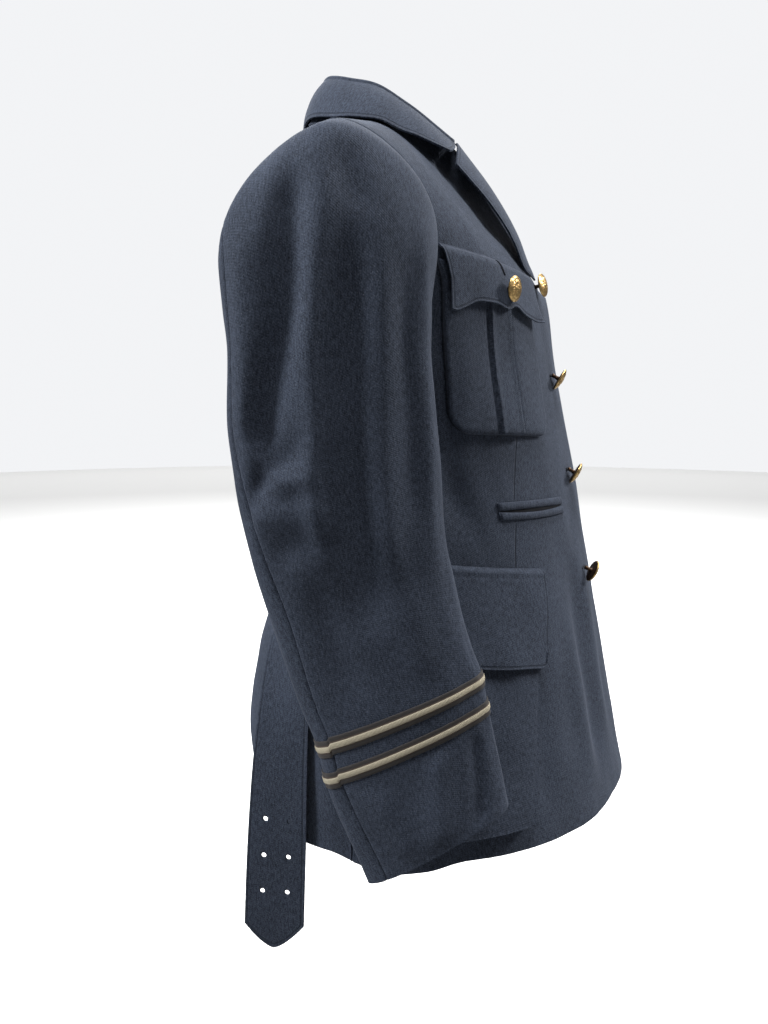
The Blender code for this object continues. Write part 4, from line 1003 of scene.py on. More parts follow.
@dataclass
class Panels:
    """The fronts and the two halves of the back, cut apart at their seams."""

    torso: Torso
    corner: float = 12.0
    neck_drop: float = 5.4
    edge_to_break: float = 0.17
    roll_to_neck: float = 0.72
    centre_to_neck: float = 0.74
    seam_gap: float = 0.2
    lip_depth: float = 1.0
    front_cells: int = 72
    back_cells: int = 54
    level_rows: int = 84
    up_rows: int = 54
    front_darts: tuple[Dart, ...] = (
        Dart(153.0, -386.0, -318.0, -0.276),
        Dart(165.0, -456.0, -408.0, -0.227),
    )
    edge_stitch: float = 0.0

    def build(self) -> None:
        """Make the four panels."""
        for side in Side:
            darts = self.front_darts
            finish = WoolFinish().build(f"wool_front_{side.label}", 0.0, darts)
            node = f"front_{side.label}"
            self.panel(f"{node}_cloth", side, False).build(finish, [node], Hold.HUNG)
            finish = WoolFinish().build(f"wool_back_{side.label}")
            node = f"back_{side.label}"
            self.panel(f"{node}_cloth", side, True).build(finish, [node], Hold.HUNG)

    def hem_inset(self, height: float) -> float:
        """How far the front edge is rounded back just above the hem."""
        above = height - self.torso.hem
        if above >= self.corner:
            return 0.0
        return self.corner - (self.corner**2 - (self.corner - above) ** 2) ** 0.5

    def level_row(self, height: float, side: Side, behind: bool) -> tuple[np.ndarray, np.ndarray]:
        """A row below the armpit: its points and their distances round the body."""
        torso = self.torso
        q, f, lengths = torso.ring(height, side)
        seam = torso.seam(height, side)
        if behind:
            places = np.linspace(torso.total(height, side), seam, 220)
        else:
            start = -torso.overlap + self.hem_inset(height)
            places = np.linspace(float(np.interp(start, q[:88], lengths[:88])), seam, 220)
        weight = float(smooth((-588 - height) / 144))
        heights = height - weight * torso.drop.at("down", places)
        points = np.stack([np.interp(places, lengths, q), np.interp(places, lengths, f), heights], axis=-1)
        return points, places

    def upper_row(self, up: float, side: Side, behind: bool) -> tuple[np.ndarray, np.ndarray]:
        """A row beside the armhole, up a share of the way to the shoulder."""
        torso = self.torso
        outer = torso.armhole(np.array(270 - 180 * up if behind else -90 + 180 * up))
        if behind and up < self.centre_to_neck:
            inner_q = 0.0
            top = float(torso.shoulder(0)) - self.neck_drop
            inner_h = torso.armpit + (top - torso.armpit) * up / self.centre_to_neck
        elif behind:
            inner_q = torso.neck_half * (up - self.centre_to_neck) / (1 - self.centre_to_neck)
            inner_h = float(torso.shoulder(inner_q)) - self.neck_drop * (1 - (inner_q / torso.neck_half) ** 3)
        elif up < self.edge_to_break:
            inner_q = -torso.overlap
            inner_h = torso.armpit + (torso.break_height - torso.armpit) * up / self.edge_to_break
        elif up < self.roll_to_neck:
            passed = (up - self.edge_to_break) / (self.roll_to_neck - self.edge_to_break)
            inner_h = torso.break_height + (-17 - torso.break_height) * passed
            inner_q = float(torso.roll.at("q", inner_h))
        else:
            inner_h = -17 * ((1 - up) / (1 - self.roll_to_neck)) ** 2
            inner_q = float(torso.roll.at("q", inner_h))
        steps = np.sin(np.linspace(0, pi / 2, 220))
        q = inner_q + (outer[0] - inner_q) * steps
        h = inner_h + (outer[2] - inner_h) * steps
        h = np.minimum(h, torso.shoulder(q))
        f = torso.back(q, h) if behind else torso.front(q, h, side)
        fit = (outer[1] - f[-1]) * smooth((steps - 0.6) / 0.4)
        gap = self.seam_gap * np.clip(1 - (torso.shoulder(q) - h) / 5, 0, 1)
        f = f + fit + (-gap if behind else gap)
        return np.stack([q, f, h], axis=-1), torso.around_of(q, h, side, behind)

    def panel(self, name: str, side: Side, behind: bool) -> Cloth:
        """One panel of the body.

        Args:
            name: The piece's name.
            side: Side that is built.
            behind: Whether it is a back half.

        Returns:
            Its cloth with the folds in it.
        """
        torso = self.torso
        levels = np.concatenate([torso.hem + np.array([0, 0.8, 1.8, 3.2, 5.0, 7.5]),
                                 np.linspace(torso.hem + 12, torso.armpit, self.level_rows)])
        breaks = (0, self.centre_to_neck, 1) if behind else (0, self.edge_to_break, self.roll_to_neck, 1)
        ups = np.concatenate([np.linspace(a, b, max(3, round(self.up_rows * (b - a))) + 1)[1:]
                              for a, b in zip(breaks, breaks[1:])])
        rows = [self.level_row(float(height), side, behind) for height in levels]
        rows += [self.upper_row(float(up), side, behind) for up in ups]
        cells = self.back_cells if behind else self.front_cells
        shares = spread(cells, 300.0, (behind, True))
        points, places, edge = [], [], []
        for line, around in rows:
            lengths = np.concatenate([[0], np.cumsum(np.linalg.norm(np.diff(line, axis=0), axis=-1))])
            wanted = self.seam_gap + shares * (lengths[-1] - 2 * self.seam_gap)
            points.append(np.stack([np.interp(wanted, lengths, line[:, k]) for k in range(3)], axis=-1))
            places.append(np.interp(wanted, lengths, around))
            edge.append(np.minimum(wanted if behind else 999.0, lengths[-1] - wanted))
        grid, places, edge = np.array(points), np.array(places), np.array(edge)
        heights = grid[..., 2]
        totals = np.array([[torso.total(round(h / 2) * 2.0, side) for h in row] for row in heights[:, :1]])
        rise = torso.relief(places, heights, side, totals)
        armhole_part = np.arange(len(rows))[:, None] >= len(levels)
        rise = np.where(armhole_part, rise * smooth((edge - 4) / 30), rise)
        rise = rise * smooth((torso.shoulder(grid[..., 0]) - heights) / 40)
        rise = rise - self.lip_depth * bell(edge, 1.6)
        folded = raised(grid, rise)
        if behind:
            centre_rows = np.abs(grid[:, 0, 0]) < 1.0
            folded[centre_rows, 0, 0] = grid[centre_rows, 0, 0]
        return Cloth(name, folded, places, heights, side)


@dataclass
class Sleeves:
    """Two-piece sleeves with their rank braids."""

    torso: Torso
    length: float = 620.0
    power: float = 2.3
    head_blend: float = 100.0
    gap: float = 0.7
    fore_seam: float = -35.0
    seam_half: float = 0.36
    rings: Table = Table(
        "back front inner outer middle tilt rise",
        (
            (0, -95, 47, 186, 216, -129.5, 0, 94.5),
            (22, -127, 49, 188, 237, -139, 0, 93),
            (60, -147, 46, 190, 252, -164, 0, 75),
            (105, -144, 42, 191, 259, -197, 2, 48),
            (150, -140, 42, 191, 261, -236, 5, 22),
            (205, -141, 46, 191, 261, -290, 8, 6),
            (258, -136, 51, 191, 261, -341, 11, 0),
            (325, -122, 55, 193, 261, -408, 16, 0),
            (392, -101, 66, 198, 262, -472, 22, 0),
            (458, -78, 81, 207, 265, -535, 28, 0),
            (490, -63, 91, 213, 268, -566, 33, 0),
            (518, -56, 96, 217, 270, -593, 35, 0),
            (620, -15, 115, 228, 280, -688, 38, 0),
        ),
    )
    back_seam: Table = Table("angle", ((0, 158), (205, 160), (300, 148), (392, 139), (490, 142), (620, 134)))
    braids: tuple[tuple[str, float], ...] = (("upper", 490.0), ("lower", 518.0))
    braid_width: float = 15.0
    braid_rise: float = 0.7
    folds: tuple[Fold, ...] = (
        Fold(((93, 30), (92, 82), (95, 122), (97, 166), (95, 218), (99, 258), (100, 350)), 8.0, 7, 50),
        Fold(((101, 40), (105, 82), (110, 134), (116, 164), (122, 196), (126, 225), (130, 262)), -13.0, 11, 40),
        Fold(((136, 70), (142, 158), (144, 240)), 3.5, 10, 50),
        Fold(((80, 30), (77, 60), (72, 90)), -4.0, 8, 25),
        Fold(((78, 84), (80, 168), (83, 242), (83, 320), (86, 420)), -8.5, 9, 60),
        Fold(((62, 70), (63, 168), (68, 270), (70, 380)), 4.5, 9, 60),
        Fold(((44, 90), (44, 200), (50, 330)), -3.4, 8, 60),
        Fold(((27, 44), (23, 122), (27, 222), (36, 400)), 2.5, 9, 60),
        Fold(((98, 236), (112, 243), (134, 260), (152, 275)), -6.0, 13, 18, True),
        Fold(((94, 262), (118, 262), (134, 240), (150, 232)), 5.0, 10, 18, True),
        Fold(((88, 292), (112, 290), (136, 292), (156, 300)), 3.0, 12, 18, True),
        Fold(((84, 330), (108, 318), (140, 322)), -3.4, 13, 18, True),
        Fold(((112, 330), (106, 430), (100, 480)), -4.0, 12, 50),
        Fold(((60, 360), (66, 430), (70, 480)), 3.0, 12, 50),
        Fold(((118, 535), (110, 575), (106, 619)), 3.0, 9, 24),
        Fold(((73, 528), (79, 565), (88, 619)), 3.6, 9, 18),
        Fold(((41, 530), (46, 570), (57, 619)), -4.2, 8, 18),
        Fold(((300, 60), (296, 220), (300, 420)), -4.6, 16, 80),
        Fold(((255, 60), (250, 240), (244, 430)), 4.6, 15, 80),
        Fold(((215, 160), (212, 300), (216, 460)), -4.0, 13, 60),
    )

    def __post_init__(self) -> None:
        """Measure the armhole that the sleeve's head follows."""
        self.hole_angles = np.arange(-180.0, 541.0, 1.0)
        self.hole_points = self.torso.armhole(self.hole_angles)

    def bare(self, along: np.ndarray, angle: np.ndarray) -> np.ndarray:
        """Points of the smooth sleeve: angle 0 is its front, 90 its outer side."""
        along, angle = np.broadcast_arrays(np.asarray(along, float), np.asarray(angle, float))
        size = {name: self.rings.at(name, along) for name in self.rings.names.split()}
        c, s = np.cos(np.radians(angle)), np.sin(np.radians(angle))
        across = np.sign(c) * np.abs(c) ** (2 / self.power)
        out = np.sign(s) * np.abs(s) ** (2 / self.power)

        def section(row: dict[str, np.ndarray | float]) -> np.ndarray:
            q = (row["inner"] + row["outer"]) / 2 + (row["outer"] - row["inner"]) / 2 * out
            f = (row["back"] + row["front"]) / 2 + (row["front"] - row["back"]) / 2 * across
            return np.stack([q, f, row["middle"] + row["tilt"] * across + row["rise"] * out], axis=-1)

        point = section(size)
        head = section({name: float(self.rings.at(name, 0.0)) for name in self.rings.names.split()})
        edge = np.stack([np.interp(angle, self.hole_angles, self.hole_points[:, k]) for k in range(3)], axis=-1)
        edge = edge + np.array([self.gap, 0, 0])
        weight = np.clip(1 - along / self.head_blend, 0, 1) ** 2
        return point + (edge - head) * weight[..., None]

    def relief(self, along: np.ndarray, angle: np.ndarray, side: Side) -> np.ndarray:
        """Folds of the sleeve's cloth."""
        turned = np.mod(angle, 360.0)
        shift = 0.0 if side is Side.RIGHT else 4.0
        rise = sum(fold.relief(turned + shift, along * (1.0 if side is Side.RIGHT else 0.97)) for fold in self.folds)
        wave = unevenness(130 * np.sin(np.radians(turned)), along + 40 * np.cos(np.radians(turned)), 3.1)
        return (rise + wave) * smooth(along / 45)

    def folded(self, along: np.ndarray, angle: np.ndarray, side: Side, out: np.ndarray | float = 0.0) -> np.ndarray:
        """Points of the folded sleeve, moved out by a distance."""
        ahead = self.bare(along + 1, angle) - self.bare(along - 1, angle)
        round_way = self.bare(along, angle + 0.6) - self.bare(along, angle - 0.6)
        normal = np.cross(round_way, ahead)
        normal = normal / np.maximum(np.linalg.norm(normal, axis=-1, keepdims=True), 1e-9)
        rise = self.relief(along, angle, side) + out
        return self.bare(along, angle) + normal * rise[..., None]

    def piece(self, name: str, side: Side, under: bool) -> Cloth:
        """The top or the under sleeve."""
        along = np.concatenate([np.array([0, 1.2, 2.6, 4.5, 7.0]), np.linspace(11, self.length - 6, 128),
                                self.length - np.array([4, 2.4, 1.2, 0])])
        seam = self.back_seam.at("angle", along)
        if under:
            start, end = seam, np.full(along.shape, 360 + self.fore_seam)
        else:
            start, end = np.full(along.shape, self.fore_seam), seam
        shares = spread(44 if under else 60, 230.0)
        angle = start[:, None] + (end - start)[:, None] * shares[None, :]
        angle = angle + self.seam_half * (1 - 2 * shares[None, :]) * (np.abs(1 - 2 * shares[None, :]) > 0.999)
        along = np.broadcast_to(along[:, None], angle.shape)
        bare = self.bare(along, angle)
        steps = np.linalg.norm(np.diff(bare, axis=1), axis=-1)
        places = np.concatenate([np.zeros((len(bare), 1)), np.cumsum(steps, axis=1)], axis=1)
        edge = np.minimum(places, places[:, -1:] - places)
        out = -0.9 * bell(edge, 1.5) - 0.8 * bell(along, 2.4)
        points = self.folded(along, angle, side, out)
        middle = places[:, places.shape[1] // 2][:, None]
        return Cloth(name, points, places - middle, -along, side, inside=self.core(side))

    def core(self, side: Side) -> tuple[float, float, float]:
        """A point inside the sleeve, in metres."""
        return tuple(float(x) for x in to_world(np.array([226.0, -25.0, -390.0]), side))

    def braid(self, name: str, level: float, side: Side) -> Cloth:
        """One rank braid round the sleeve. It steps a little at the back seam."""
        angles = np.linspace(-35.0, 325.0, 241)
        across = np.array([-7.5, -7.1, -6.2, -4.5, -3.2, -2.5, -1.6, 0, 1.6, 2.5, 3.2, 4.5, 6.2, 7.1, 7.5])
        seam = float(self.back_seam.at("angle", level))
        step = 2.2 * smooth((angles - seam + 1.5) / 3.0) * (1 - smooth((angles - 300) / 20.0))
        along = level + across[:, None] + step[None, :]
        angle = np.broadcast_to(angles[None, :], along.shape)
        raise_line = self.braid_rise * smooth((3.0 - np.abs(across)) / 1.0)
        sink = -0.5 * smooth((np.abs(across) - 6.6) / 0.9)
        seam_dip = -0.8 * bell(angles - seam, 0.9)
        out = 0.25 + BRAID_WALL + (raise_line + sink)[:, None] + seam_dip[None, :]
        points = self.folded(along, angle, side, out)
        steps = np.linalg.norm(np.diff(points, axis=1), axis=-1)
        places = np.concatenate([np.zeros((len(across), 1)), np.cumsum(steps, axis=1)], axis=1)
        levels = np.broadcast_to(across[:, None], places.shape)
        return Cloth(name, points, places, levels, side, BRAID_WALL, True, self.core(side))

    def build(self) -> None:
        """Make both sleeves and their braids."""
        braid_finish = BraidFinish().build("rank_braid_weave")
        for side in Side:
            for part, under in (("top", False), ("under", True)):
                node = f"sleeve_{part}_{side.label}"
                finish = WoolFinish().build(f"wool_{node}")
                self.piece(f"{node}_cloth", side, under).build(
                    finish, [node], Hold.HUNG, [f"front_{side.label}", f"back_{side.label}"]
                )
            for place, level in self.braids:
                node = f"braid_{place}_{side.label}"
                rests = [f"sleeve_top_{side.label}", f"sleeve_under_{side.label}"]
                self.braid(f"{node}_band", level, side).build(
                    braid_finish, [node], Hold.LAID, rests, slot=Slot.BRAID
                )


@dataclass
class Collar:
    """The collar: a stand, a rolled fold and a leaf that falls over the neck seam."""

    torso: Torso
    seam_lift: float = 0.6
    fold_radius: float = 3.6
    stand_end: float = 0.3
    fold_end: float = 0.55
    stitch: float = 3.2
    rows: Table = Table(
        "fold_q fold_f fold_h edge_q edge_f edge_h swell_f swell_h",
        (
            (0.0, 0, -63, 59, 0, -89, 12, -4, 3),
            (0.2, 34, -55, 56, 50, -80, 8, -3, 3),
            (0.4, 57, -33, 47, 92, -48, 1, -1, 4),
            (0.6, 67, -6, 38, 112, -6, -8, 1, 4),
            (0.8, 66, 26, 19, 115, 28, -22, 3, 2),
            (1.0, 53, 74, -13.2, 104, 66, -35, 3, -2),
        ),
    )

    def neck_seam(self, share: np.ndarray) -> np.ndarray:
        """Neck edge of the body from the centre back, 0, to the collar's front end, 1."""
        torso = self.torso
        q = torso.neck_half * np.clip(share / 0.5, 0, 1)
        high = torso.shoulder(q) - 5.4 * (1 - (q / torso.neck_half) ** 3)
        behind = np.stack([q, torso.back(q, high), high], axis=-1)
        height = -17 * np.clip((share - 0.5) / 0.5, 0, 1) ** 2
        ahead = np.stack([torso.roll.at("q", height), torso.roll.at("forward", height), height], axis=-1)
        return np.where((share < 0.5)[..., None], behind, ahead)

    def half(self, share: np.ndarray, v: np.ndarray) -> np.ndarray:
        """Points of one half: v goes up the stand, over the fold and down the leaf."""
        row = {name: self.rows.at(name, share) for name in self.rows.names.split()}
        base = self.neck_seam(share) + np.array([-1.0, 0, self.seam_lift])
        fold = np.stack([row["fold_q"], row["fold_f"], row["fold_h"]], axis=-1)
        edge = np.stack([row["edge_q"], row["edge_f"], row["edge_h"]], axis=-1)
        swell = np.stack([np.abs(row["swell_f"]) * 0.4 * smooth(share / 0.06), row["swell_f"], row["swell_h"]], axis=-1)
        away = (edge - fold) * np.array([1.0, 1.0, 0.0])
        away = away / np.linalg.norm(away, axis=-1, keepdims=True)
        up = np.array([0.0, 0.0, 1.0])
        radius = self.fold_radius
        centre = fold - up * radius
        rise = (v / self.stand_end)[..., None]
        stand = base + (centre - away * radius * 0.3 - base) * rise
        turn = (pi * (v - self.stand_end) / (self.fold_end - self.stand_end))[..., None]
        bend = centre + away * radius * (0.7 - np.cos(turn)) + up * radius * np.sin(turn)
        t = ((v - self.fold_end) / (1 - self.fold_end))[..., None]
        start = centre + away * radius * 1.7
        control = (start + edge) / 2 + swell * 2
        leaf = (1 - t) ** 2 * start + 2 * t * (1 - t) * control + t * t * edge
        point = np.where((v <= self.stand_end)[..., None], stand, bend)
        return np.where((v > self.fold_end)[..., None], leaf, point)

    def build(self) -> None:
        """Make the collar as one cloth that goes round the neck."""
        u = np.linspace(0, 1, 151)
        v = np.concatenate([np.linspace(0, self.stand_end, 12), np.linspace(self.stand_end, self.fold_end, 18)[1:],
                            np.linspace(self.fold_end, 0.985, 30)[1:], [0.991, 0.996, 1.0]])
        share = np.broadcast_to(np.abs(2 * u - 1)[None, :], (len(v), len(u)))
        level = np.broadcast_to(v[:, None], share.shape)
        points = self.half(share, level)
        leaf = smooth((level - self.fold_end) / 0.2)
        wave = 0.5 * np.sin(u * 37)[None, :] + 0.35 * np.sin(u * 71 + 1)[None, :]
        points[..., 2] += leaf * wave * smooth((1 - share) / 0.15)
        points[..., 0] *= np.where(u < 0.5, 1.0, -1.0)[None, :]
        steps = np.linalg.norm(np.diff(points, axis=1), axis=-1)
        places = np.concatenate([np.zeros((len(v), 1)), np.cumsum(steps, axis=1)], axis=1)
        places = places - places[:, 75:76]
        rise = np.linalg.norm(np.diff(points, axis=0), axis=-1)
        levels = np.concatenate([np.zeros((1, len(u))), np.cumsum(rise, axis=0)], axis=0)
        finish = WoolFinish().build("wool_collar", self.stitch)
        cloth = Cloth("collar_cloth", points, places, levels, Side.RIGHT, inside=(0.0, 0.0, -0.02))
        cloth.build(finish, ["collar"], Hold.FOLDED, ["back_right", "back_left"], (True, True, False, True))


@dataclass
class Lapels:
    """Lapels folded back from the roll line."""

    torso: Torso
    lift: float = 1.1
    stitch: float = 3.2
    rows: Table = Table(
        "roll_q roll_f roll_h edge_q edge_f edge_h swell lift",
        (
            (0.0, -1, 166.5, -147, 10, 166, -151, 0, 0),
            (0.15, 4, 158, -134, 44, 152, -147, 3, 0),
            (0.45, 18, 136, -94, 70, 135, -122, 5, 0),
            (0.75, 36, 108, -54, 87, 107, -84, 5, 0),
            (1.0, 52, 74, -15.4, 104, 69, -48, 1, 5),
        ),
    )

    def build(self) -> None:
        """Make both lapels."""
        for side in Side:
            share = np.linspace(0, 1, 81)[:, None]
            v = spread(26, 60.0, (True, True))[None, :]
            share, v = np.broadcast_arrays(share, v)
            row = {name: self.rows.at(name, share) for name in self.rows.names.split()}
            rise = np.array([0.0, self.lift + WALL, 0.0])
            roll = np.stack([row["roll_q"], row["roll_f"], row["roll_h"]], axis=-1) + rise
            edge = np.stack([row["edge_q"], row["edge_f"], row["edge_h"]], axis=-1) + rise
            points = roll + (edge - roll) * v[..., None]
            hump = 4 * v * (1 - v)
            points[..., 1] += row["swell"] * hump - 1.2 * bell(v, 0.06) + 0.5 * np.sin(share * 14) * v
            points[..., 2] += row["lift"] * hump
            if side is Side.LEFT:
                near = 1 - smooth((points[..., 0] - 15) / 75)
                low = 1 - smooth((points[..., 2] + 110) / 60)
                points[..., 1] -= self.torso.set_back * near * low
            places = v * np.linalg.norm(edge - roll, axis=-1)
            node = f"lapel_{side.label}"
            finish = WoolFinish().build(f"wool_{node}", self.stitch)
            cloth = Cloth(f"{node}_cloth", points, places, share * 175.0, side, inside=(0.0, 0.3, -0.1))
            cloth.build(finish, [node], Hold.FOLDED, [f"front_{side.label}"], (False, True, False, True))


@dataclass
class ChestPockets:
    """Patch pockets with a box pleat, under scalloped flaps with buttonholes."""

    torso: Torso
    front: float = 75.0
    rear: float = 221.0
    top: float = -150.0
    bottom: float = -314.0
    tilt: float = 0.06
    corner: float = 24.0
    pleat_half: float = 16.0
    pleat_rise: float = 2.6
    flap_tilt: float = 0.12
    flap_front: float = 72.0
    flap_rear: float = 211.0
    flap_spread: float = 6.0
    flap_flare: float = 3.0
    flap_top: float = -134.0
    stitch: float = 2.6
    flap: Table = Table(
        "length",
        (
            (0.0, 51),
            (0.1, 53),
            (0.25, 51),
            (0.4, 45),
            (0.5, 50),
            (0.62, 47),
            (0.75, 48),
            (0.9, 57),
            (0.97, 61),
            (1.0, 60),
        ),
    )
    button_around: float = 141.0
    button_drop: float = 30.0
    button_lean: tuple[float, float, float] = (0.0, 0.16, -0.16)
    shank: float = 5.0

    def pocket_out(self, down: np.ndarray | float) -> np.ndarray | float:
        """How far the pocket stands off the body, a share of the way down it."""
        return LAY_GAP + TRIM_WALL + 1.0 + 4.0 * down

    def pocket(self, name: str, side: Side) -> Cloth:
        """The patch pocket. Its edges turn back to the body."""
        u = spread(78, 146.0)
        v = spread(44, 164.0, (True, False))
        across, up = np.meshgrid(u, v)
        above = up * (self.top - self.bottom)
        inside = np.clip(self.corner - above, 0, None)
        corner = self.corner - np.sqrt(np.clip(self.corner**2 - inside**2, 0, None))
        around = self.front + corner + across * (self.rear - self.front - 2 * corner)
        height = self.bottom + above - self.tilt * (self.rear - around)
        from_middle = np.abs(around - (self.front + self.rear) / 2 - 1.5 * up)
        pleat = self.pleat_rise * smooth((self.pleat_half + 1.1 - from_middle) / 2.0)
        pleat = pleat - 1.5 * bell(from_middle - self.pleat_half - 2.4, 1.7) * smooth((1.02 - up) / 0.1)
        pleat = pleat + 0.9 * bell(from_middle - self.pleat_half + 1.5, 4.0)
        edge = np.minimum(np.minimum(across, 1 - across) * (self.rear - self.front - 2 * corner), above)
        full = self.pocket_out(1 - up) + pleat
        full = full + 1.4 * np.sin(across * 9 + 0.7) * np.sin(np.pi * (1 - up)) ** 1.5 * 0.5
        full = full - 0.9 * bell(edge - self.stitch, 1.2)
        turned = smooth((2.4 - edge) / 2.4)
        out = full * (1 - turned) + (LAY_GAP * 0.3 + TRIM_WALL) * turned
        return Cloth(name, self.torso.skin(around, height, side, out), around, height, side, TRIM_WALL)

    def flap_place(self, share: np.ndarray, down: np.ndarray, side: Side, lift: float = 0.0) -> np.ndarray:
        """Points of the flap at shares from its front end and distances below its top."""
        length = self.flap.at("length", share)
        around = self.flap_front + share * (self.flap_rear - self.flap_front) + self.flap_spread * share * down / length
        height = self.flap_top - down - self.flap_tilt * (self.rear - around)
        over = self.pocket_out(np.clip((down - 16) / 164, 0, None)) + self.pleat_rise + LAY_GAP + TRIM_WALL
        start = LAY_GAP + TRIM_WALL
        out = start + (over - start) * smooth(down / 7) + self.flap_flare * (down / length) ** 2
        near_end = bell(share, 0.09) * (down / length) ** 3
        rear_end = bell(share - 1, 0.08) * (down / length) ** 3
        wave = 0.9 * np.sin(share * 2 * pi * 2.1 + 0.6) * (down / length) ** 2
        out = out + 4.5 * near_end + 1.2 * rear_end + wave - 0.8 * bell(down - 6.5, 1.6)
        return self.torso.skin(around, height, side, out + lift)

    def build(self) -> None:
        """Make the pockets, flaps, buttonholes and buttons of both sides."""
        # Dark buttonhole strip: partly the thread's colour and partly painted shade of the slit.
        dark = WoolFinish(pale=(0.012, 0.015, 0.024), fleck=(0.02, 0.024, 0.03), deep=(0.003, 0.004, 0.007))
        thread_and_slit_shade = dark.build("wool_buttonhole_thread")
        for side in Side:
            node = f"chest_pocket_{side.label}"
            # Painted shade along the pocket's sewn edges.
            finish = WoolFinish().build(f"wool_{node}", self.stitch, painted_edge_shade=0.75)
            front = f"front_{side.label}"
            self.pocket(f"{node}_cloth", side).build(
                finish, [node], Hold.LAID, [front], (True, True, True, False)
            )
            node = f"chest_flap_{side.label}"
            share, depth = np.meshgrid(spread(90, 140.0), 1 - spread(30, 52.0))
            down = depth * self.flap.at("length", share)
            points = self.flap_place(share, down, side)
            places = self.flap_front + share * (self.flap_rear - self.flap_front)
            finish = WoolFinish().build(f"wool_{node}", self.stitch)
            Cloth(f"{node}_cloth", points, places, -down, side, TRIM_WALL).build(
                finish, [node], Hold.LAID, [front, f"chest_pocket_{side.label}"], (True, True, True, False)
            )
            self.buttonhole(side, thread_and_slit_shade)
            self.button(side)

    def buttonhole(self, side: Side, finish: bpy.types.Material) -> None:
        """The stitched buttonhole that shows above the button. Its dark colour is partly thread and partly painted
        shade of the slit.
        """
        place, level = np.meshgrid(np.linspace(-1, 1, 9), np.linspace(0, 1, 15))
        share = 0.497 + place * 0.0095 * np.sqrt(np.clip(1 - (2 * level - 1) ** 8, 0, 1)) - 0.018 * (1 - level)
        down = self.button_drop - 12 - 15 * level
        ridge = 0.55 * bell(np.abs(place) - 0.55, 0.3)
        points = self.flap_place(share, down, side)
        points = raised(points, ridge + 0.35) if side is Side.RIGHT else raised(points, ridge + 0.35)
        strip_of_thread(f"chest_buttonhole_{side.label}", points, side, finish)

    def button(self, side: Side) -> None:
        """The button that closes the flap."""
        around = self.button_around
        height = self.flap_top - self.button_drop - self.flap_tilt * (self.rear - around)
        pocket = float(self.pocket_out((self.button_drop - 16) / 164)) + self.pleat_rise
        length = float(self.flap.at("length", 0.5))
        over = pocket + LAY_GAP + TRIM_WALL + self.flap_flare * (self.button_drop / length) ** 2
        normal = self.torso.skin_normal(around, height, side)
        base = self.torso.skin(around, height, side, over + LAY_GAP + 0.3)
        node = f"chest_button_{side.label}"
        face = normal + np.array(self.button_lean)
        Button(node, self.shank).build(to_world(base, side), to_world(face, side), side.value * 12.0)


def strip_of_thread(name: str, points: np.ndarray, side: Side, finish: bpy.types.Material) -> None:
    """A small patch of close stitches.

    Args:
        name: The piece's name.
        points: Its grid of points.
        side: Side that is built.
        finish: Its material.
    """
    rows, columns = points.shape[:2]
    world = to_world(points, side)
    maker = bmesh.new()
    bmesh.ops.create_grid(maker, x_segments=columns - 1, y_segments=rows - 1, size=1)
    cloth_map = maker.loops.layers.uv.new("cloth")
    for vertex in maker.verts:
        column = round((vertex.co.x + 1) / 2 * (columns - 1))
        row = round((vertex.co.y + 1) / 2 * (rows - 1))
        vertex.co = world[row, column]
        for loop in vertex.link_loops:
            loop[cloth_map].uv = (column * 0.0004, row * 0.001)
    maker.normal_update()
    if sum(face.normal.dot(face.calc_center_median() - Vector((0, -0.05, -0.35))) for face in maker.faces) < 0:
        bmesh.ops.reverse_faces(maker, faces=maker.faces[:])
    bmesh.ops.solidify(maker, geom=maker.faces[:], thickness=0.0004)
    finished(name, maker, (finish,))


